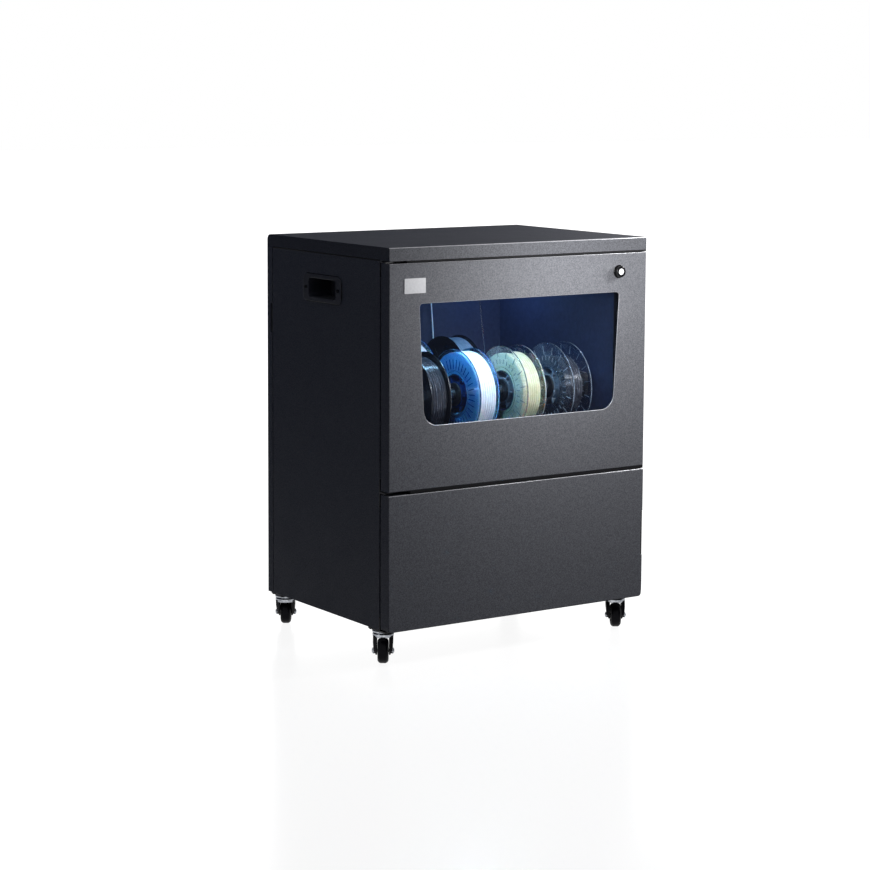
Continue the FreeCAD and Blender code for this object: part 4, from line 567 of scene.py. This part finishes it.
# The strands' points, in millimetres: up from the back of the reel, then through the ceiling
STRANDS = {
    "front": [(65.85, -27.675, 557), (51.85, -27.675, 723), (31.85, -27.675, 818), (31.85, -27.675, 850)],
    "rear": [(88.85, 216.325, 557), (78.85, 216.325, 723), (66.85, 216.325, 818), (66.85, 216.325, 850)],
}


def strand(name, points):
    """A strand of filament held between its reel and its outlet."""
    curve = bpy.data.curves.new(f"{name}_strand", "CURVE")
    curve.dimensions = "3D"
    curve.bevel_depth = FILAMENT / 2 * MM
    curve.bevel_resolution = 3
    curve.use_fill_caps = True
    line = curve.splines.new("NURBS")
    line.points.add(len(points) - 1)
    for point, spot in zip(line.points, points):
        point.co = [part * MM for part in spot] + [1]
    line.order_u = 3
    line.use_endpoint_u = True
    curve.materials.append(PLA_CLEAR if name == "front" else PLA_FROST)
    made = bpy.data.objects.new(f"{name}_strand", curve)
    bpy.context.scene.collection.objects.link(made)
    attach(made, "cabinet")
    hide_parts("filament_strands")


# Casters: the cups of the race as (height, radius), and a cheek's levels as (height, reach, half its
# width, share of the trail), in millimetres

LOWER_CUP = [
    (55.6, 21.6), (55.6, 22.6), (58, 23.4), (59.4, 23.8), (60.6, 23.4), (62.4, 23.6), (64, 22.4), (64.2, 19),
]
UPPER_CUP = [(64.8, 20), (65, 22.4), (66.6, 24.2), (69.4, 24.6), (71.4, 23.4), (72, 20)]
CHEEK = [(60, 22, 17, 0), (46, 22, 16, 0.4), (29, 20.5, 12, 1), (19, 16, 7, 1)]
CHEEK_INNER = 12.7


def ring_piece(name, body, outline, place):
    """A chromed ring about an upright axis, from an outline of (height, radius)."""
    bm = bmesh.new()
    spin_round(bm, outline, 48)
    finish_shape(bm)
    stand = Matrix.Translation((place.x, place.y, 0)) @ Matrix.Rotation(math.radians(-90), 4, "Y")
    bmesh.ops.transform(bm, matrix=stand, verts=bm.verts)
    piece(name, bm, body, "caster_chrome", CHROME)


def cheeks(corner, swivel, wheel, along):
    """The pressed cheeks of a fork: broad and upright under the race, drawn in below the axle."""
    bm = bmesh.new()
    back = (wheel - swivel).to_2d().length / MM
    for side in (-1, 1):
        rings = []
        for height, out, half, share in CHEEK:
            ring = [(CHEEK_INNER, -half), (out, 3 - half), (out, half - 3), (CHEEK_INNER, half)]
            rings.append([bm.verts.new(Vector((side * x, y - back * share, height)) * MM) for x, y in ring])
        for upper, lower in zip(rings, rings[1:]):
            for k in range(4):
                bm.faces.new((upper[k], upper[k - 1], lower[k - 1], lower[k]))
        bm.faces.new(rings[0])
        bm.faces.new(rings[-1])
    bar(bm, (40, 33, 3.6), Matrix.Translation((0, 0, 58.2 * MM)))
    bmesh.ops.recalc_face_normals(bm, faces=bm.faces)
    soften(bm, sharp_edges(bm, lambda middle: True), 1.2)
    turn = Vector((1, 0)).angle_signed(along.to_2d()) * -1
    if (Matrix.Rotation(turn, 3, "Z") @ Vector((0, -1, 0))).dot((wheel - swivel) * Vector((1, 1, 0))) < 0:
        turn += math.pi
    place = Matrix.Translation((swivel.x, swivel.y, 0)) @ Matrix.Rotation(turn, 4, "Z")
    bmesh.ops.transform(bm, matrix=place, verts=bm.verts)
    piece(f"fork_cheeks_{corner}", bm, f"caster_{corner}", "caster_black", FORK)


def axle_nuts(corner, wheel, along):
    """Domed hexagon nuts on both ends of an axle."""
    bm = bmesh.new()
    for side in (-1, 1):
        way = (along * side).to_track_quat("X", "Z").to_matrix().to_4x4()
        before = set(bm.verts)
        spin_round(bm, [(19.2, 4.2), (19.2, 7.2), (21.6, 7.2), (22.4, 6.2)], 6, closed=False)
        spin_round(bm, [(22.4, 5.2), (23.6, 4.6), (24.4, 2.4), (24.6, 0.05)], 24, closed=False)
        new = [vert for vert in bm.verts if vert not in before]
        bmesh.ops.transform(bm, matrix=Matrix.Translation(wheel) @ way, verts=new)
    finish_shape(bm)
    piece(f"axle_nuts_{corner}", bm, f"caster_{corner}", "zinc_steel", ZINC)


def casters():
    """Chromed races, pressed forks, nuts and wheels."""
    dressed("caster_plates", FORK, 0.5, 2)
    for corner in CORNERS:
        dressed(f"caster_fork_{corner}", FORK, 0.4, 2)
        dressed(f"caster_wheel_{corner}", TREAD)
        swivel = Vector(JOINTS[f"caster_{corner}_swivel"]["pos_m"])
        wheel = Vector(JOINTS[f"wheel_{corner}_roll"]["pos_m"])
        along = Vector(JOINTS[f"wheel_{corner}_roll"]["axis"])
        ring_piece(f"lower_cup_{corner}", f"caster_{corner}", LOWER_CUP, swivel)
        ring_piece(f"upper_cup_{corner}", "cabinet", UPPER_CUP, swivel)
        cheeks(corner, swivel, wheel, along)
        axle_nuts(corner, wheel, along)


def screws():
    """Pan heads with a socket."""
    bm = merged_copy("cabinet_screws")
    heads = [face for face in bm.faces if 40e-6 < face.calc_area() < 60e-6 and len(face.verts) > 8]
    bmesh.ops.inset_individual(bm, faces=heads, thickness=1.9 * MM, depth=0)
    bmesh.ops.inset_individual(bm, faces=heads, thickness=0.2 * MM, depth=-1.1 * MM)
    piece("cabinet_screws_dressed", bm, "cabinet", "zinc_steel", FORK, nodes=["cabinet_screws"])


def inside():
    """What the doors hide, and what the window shows round the reels."""
    for node in ("front_frame", "base_pan", "mid_shelf", "rear_posts", "pivot_brackets", "rod_brackets"):
        painted(node, BLACK_PAINT)
    painted("lower_door_liner", BLACK_PAINT)
    painted("upper_door_liner", CHAMBER)
    painted("chamber_liner", CHAMBER)
    painted("window_pane", PANE)
    painted("door_gasket", RUBBER)
    painted("door_magnets", FERRITE)
    painted("spool_rods", STEEL)
    dressed("spool_sleeves", ABS, 0.8, 2)
    dressed("filament_outlets", ABS, 0.4, 2)
    painted("light_bar", LIGHT)
    painted("humidity_sensor", WHITE_CAP)
    painted("dryer_housing", ZINC)
    painted("heater_core", ALLOY)
    painted("fan_frame", ABS)
    painted("fan_rotor", ABS)
    painted("control_board", BOARD)
    dressed("power_inlet", ABS, 0.5, 2, lambda middle: middle.y > -FRONT + 1.5 * MM)


# Floor, lamps and camera

def white_to_sight(tree, lit):
    """White where a camera, a mirror or glass looks, and another colour for light off dull surfaces."""
    ray = add(tree, "ShaderNodeLightPath")
    seen = add(tree, "ShaderNodeMath", None,
               {0: ray.outputs["Is Camera Ray"], 1: ray.outputs["Is Glossy Ray"]}, operation="MAXIMUM")
    seen = add(tree, "ShaderNodeMath", None, {0: seen.outputs[0], 1: ray.outputs["Is Transmission Ray"]},
               operation="MAXIMUM")
    seen = add(tree, "ShaderNodeMath", None, {0: seen.outputs[0], 1: ray.outputs["Diffuse Depth"]},
               operation="SUBTRACT", use_clamp=True)
    return add(tree, "ShaderNodeMix", {"A": lit, "B": [1, 1, 1, 1]}, {"Factor": seen.outputs[0]},
               data_type="RGBA")


def board(name, place, turn, size, material, seen):
    """A flat square of the studio."""
    bm = bmesh.new()
    at = Matrix.Translation(place) @ turn
    bmesh.ops.create_grid(bm, x_segments=1, y_segments=1, size=size / 2, matrix=at)
    mesh = bpy.data.meshes.new(name)
    bm.to_mesh(mesh)
    bm.free()
    mesh.materials.append(material)
    made = bpy.data.objects.new(name, mesh)
    bpy.context.scene.collection.objects.link(made)
    made.visible_camera = seen
    made.visible_shadow = seen


def studio():
    """A pale floor, white surroundings, and dark boards that keep them out of the side, the top and
    the pane."""
    scene = bpy.context.scene
    scene.view_settings.view_transform = "Standard"
    world = bpy.data.worlds.new("white_surroundings")
    scene.world = world
    world.use_nodes = True
    tree = world.node_tree
    colour = white_to_sight(tree, [0.06, 0.068, 0.096, 1])
    tree.links.new(colour.outputs[2], tree.nodes["Background"].inputs["Color"])

    floor, tree, shader = shader_of("pale_floor", Roughness=0.2, Specular_IOR_Level=0.3)
    shader.inputs["Base Color"].default_value = linear("5e5e5e")
    colour = white_to_sight(tree, [0, 0, 0, 1])
    tree.links.new(colour.outputs[2], shader.inputs["Emission Color"])
    shader.inputs["Emission Strength"].default_value = 0.92
    board("floor", (0, 0, 0), Matrix(), 60, floor, True)

    flag = shader_of(
        "dark_board", Roughness=1.0, Specular_IOR_Level=0.0, Base_Color=linear("050505"),
        Emission_Color=linear("c4d2ff"), Emission_Strength=0.08,
    )[0]
    board("left_flag", (-1.25, 1.95, 1.0), Matrix.Rotation(math.radians(90), 4, "Y"), 3.8, flag, False)
    across = Matrix.Rotation(math.radians(34), 4, "Z") @ Matrix.Rotation(math.radians(90), 4, "X")
    board("front_flag", (1.5, -2.3, 1.0), across, 3.4, flag, False)
    board("back_flag", (0.4, 0.8, 1.93), Matrix.Rotation(math.radians(90), 4, "X"), 2.0, flag, False)


def lamp(name, place, target, size, power, colour="ffffff"):
    """A soft box that shines at a point."""
    data = bpy.data.lights.new(name, "AREA")
    data.shape = "RECTANGLE"
    data.size, data.size_y = size
    data.energy = power
    data.color = linear(colour)[:3]
    made = bpy.data.objects.new(name, data)
    away = Vector(target) - Vector(place)
    made.matrix_world = Matrix.Translation(place) @ away.to_track_quat("-Z", "Y").to_matrix().to_4x4()
    made.visible_camera = False
    bpy.context.scene.collection.objects.link(made)


def lamps():
    """A key from the right, a softer light in front of the upper door, and two for the chamber's bar."""
    lamp("key", (0.95, -0.52, 1.13), (0.4, -0.1, 0.92), (0.16, 0.16), 13.5)
    lamp("front_fill", (0.13, -0.62, 0.86), (0.0, -0.2545, 0.72), (0.16, 0.12), 2.7)
    lamp("chamber_glow", (-0.12, -0.17, 0.828), (-0.12, -0.05, 0.5), (0.25, 0.02), 1.7, "a6dcff")
    lamp("rear_glow", (0.15, 0.1, 0.82), (0.283, 0.16, 0.72), (0.06, 0.06), 0.5, "8fbcff")


# The photograph's camera, fitted to the cabinet's corners: its place in metres, its turns in
# degrees, its lens in millimetres, and the row of the 870-pixel frame that its axis meets
CAMERA_PLACE = (-3.0661, -4.4529, 1.2667)
CAMERA_YAW, CAMERA_PITCH, CAMERA_ROLL = 34.055, 6.981, 0.284
LENS = 99.16
PHOTO_SIZE, AXIS_ROW = 870, 365


def camera():
    """The camera at the photograph's viewing angle."""
    data = bpy.data.cameras.new("photo_camera")
    data.lens = LENS
    data.sensor_width = 36
    data.shift_y = (AXIS_ROW - PHOTO_SIZE / 2) / PHOTO_SIZE
    made = bpy.data.objects.new("photo_camera", data)
    made.matrix_world = (
        Matrix.Translation(CAMERA_PLACE)
        @ Matrix.Rotation(math.radians(-CAMERA_YAW), 4, "Z")
        @ Matrix.Rotation(math.radians(90 - CAMERA_PITCH), 4, "X")
        @ Matrix.Rotation(math.radians(CAMERA_ROLL), 4, "Z")
    )
    bpy.context.scene.collection.objects.link(made)
    bpy.context.scene.camera = made


camera()
for strand_name, strand_points in STRANDS.items():
    strand(strand_name, strand_points)
studio()
lamps()
cover()
door_skin("upper_door_skin")
door_skin("lower_door_skin")
shell()
latch()
gap_shades_and_pull_lip()
for reel_number in REELS:
    reel(reel_number)
casters()
screws()
inside()
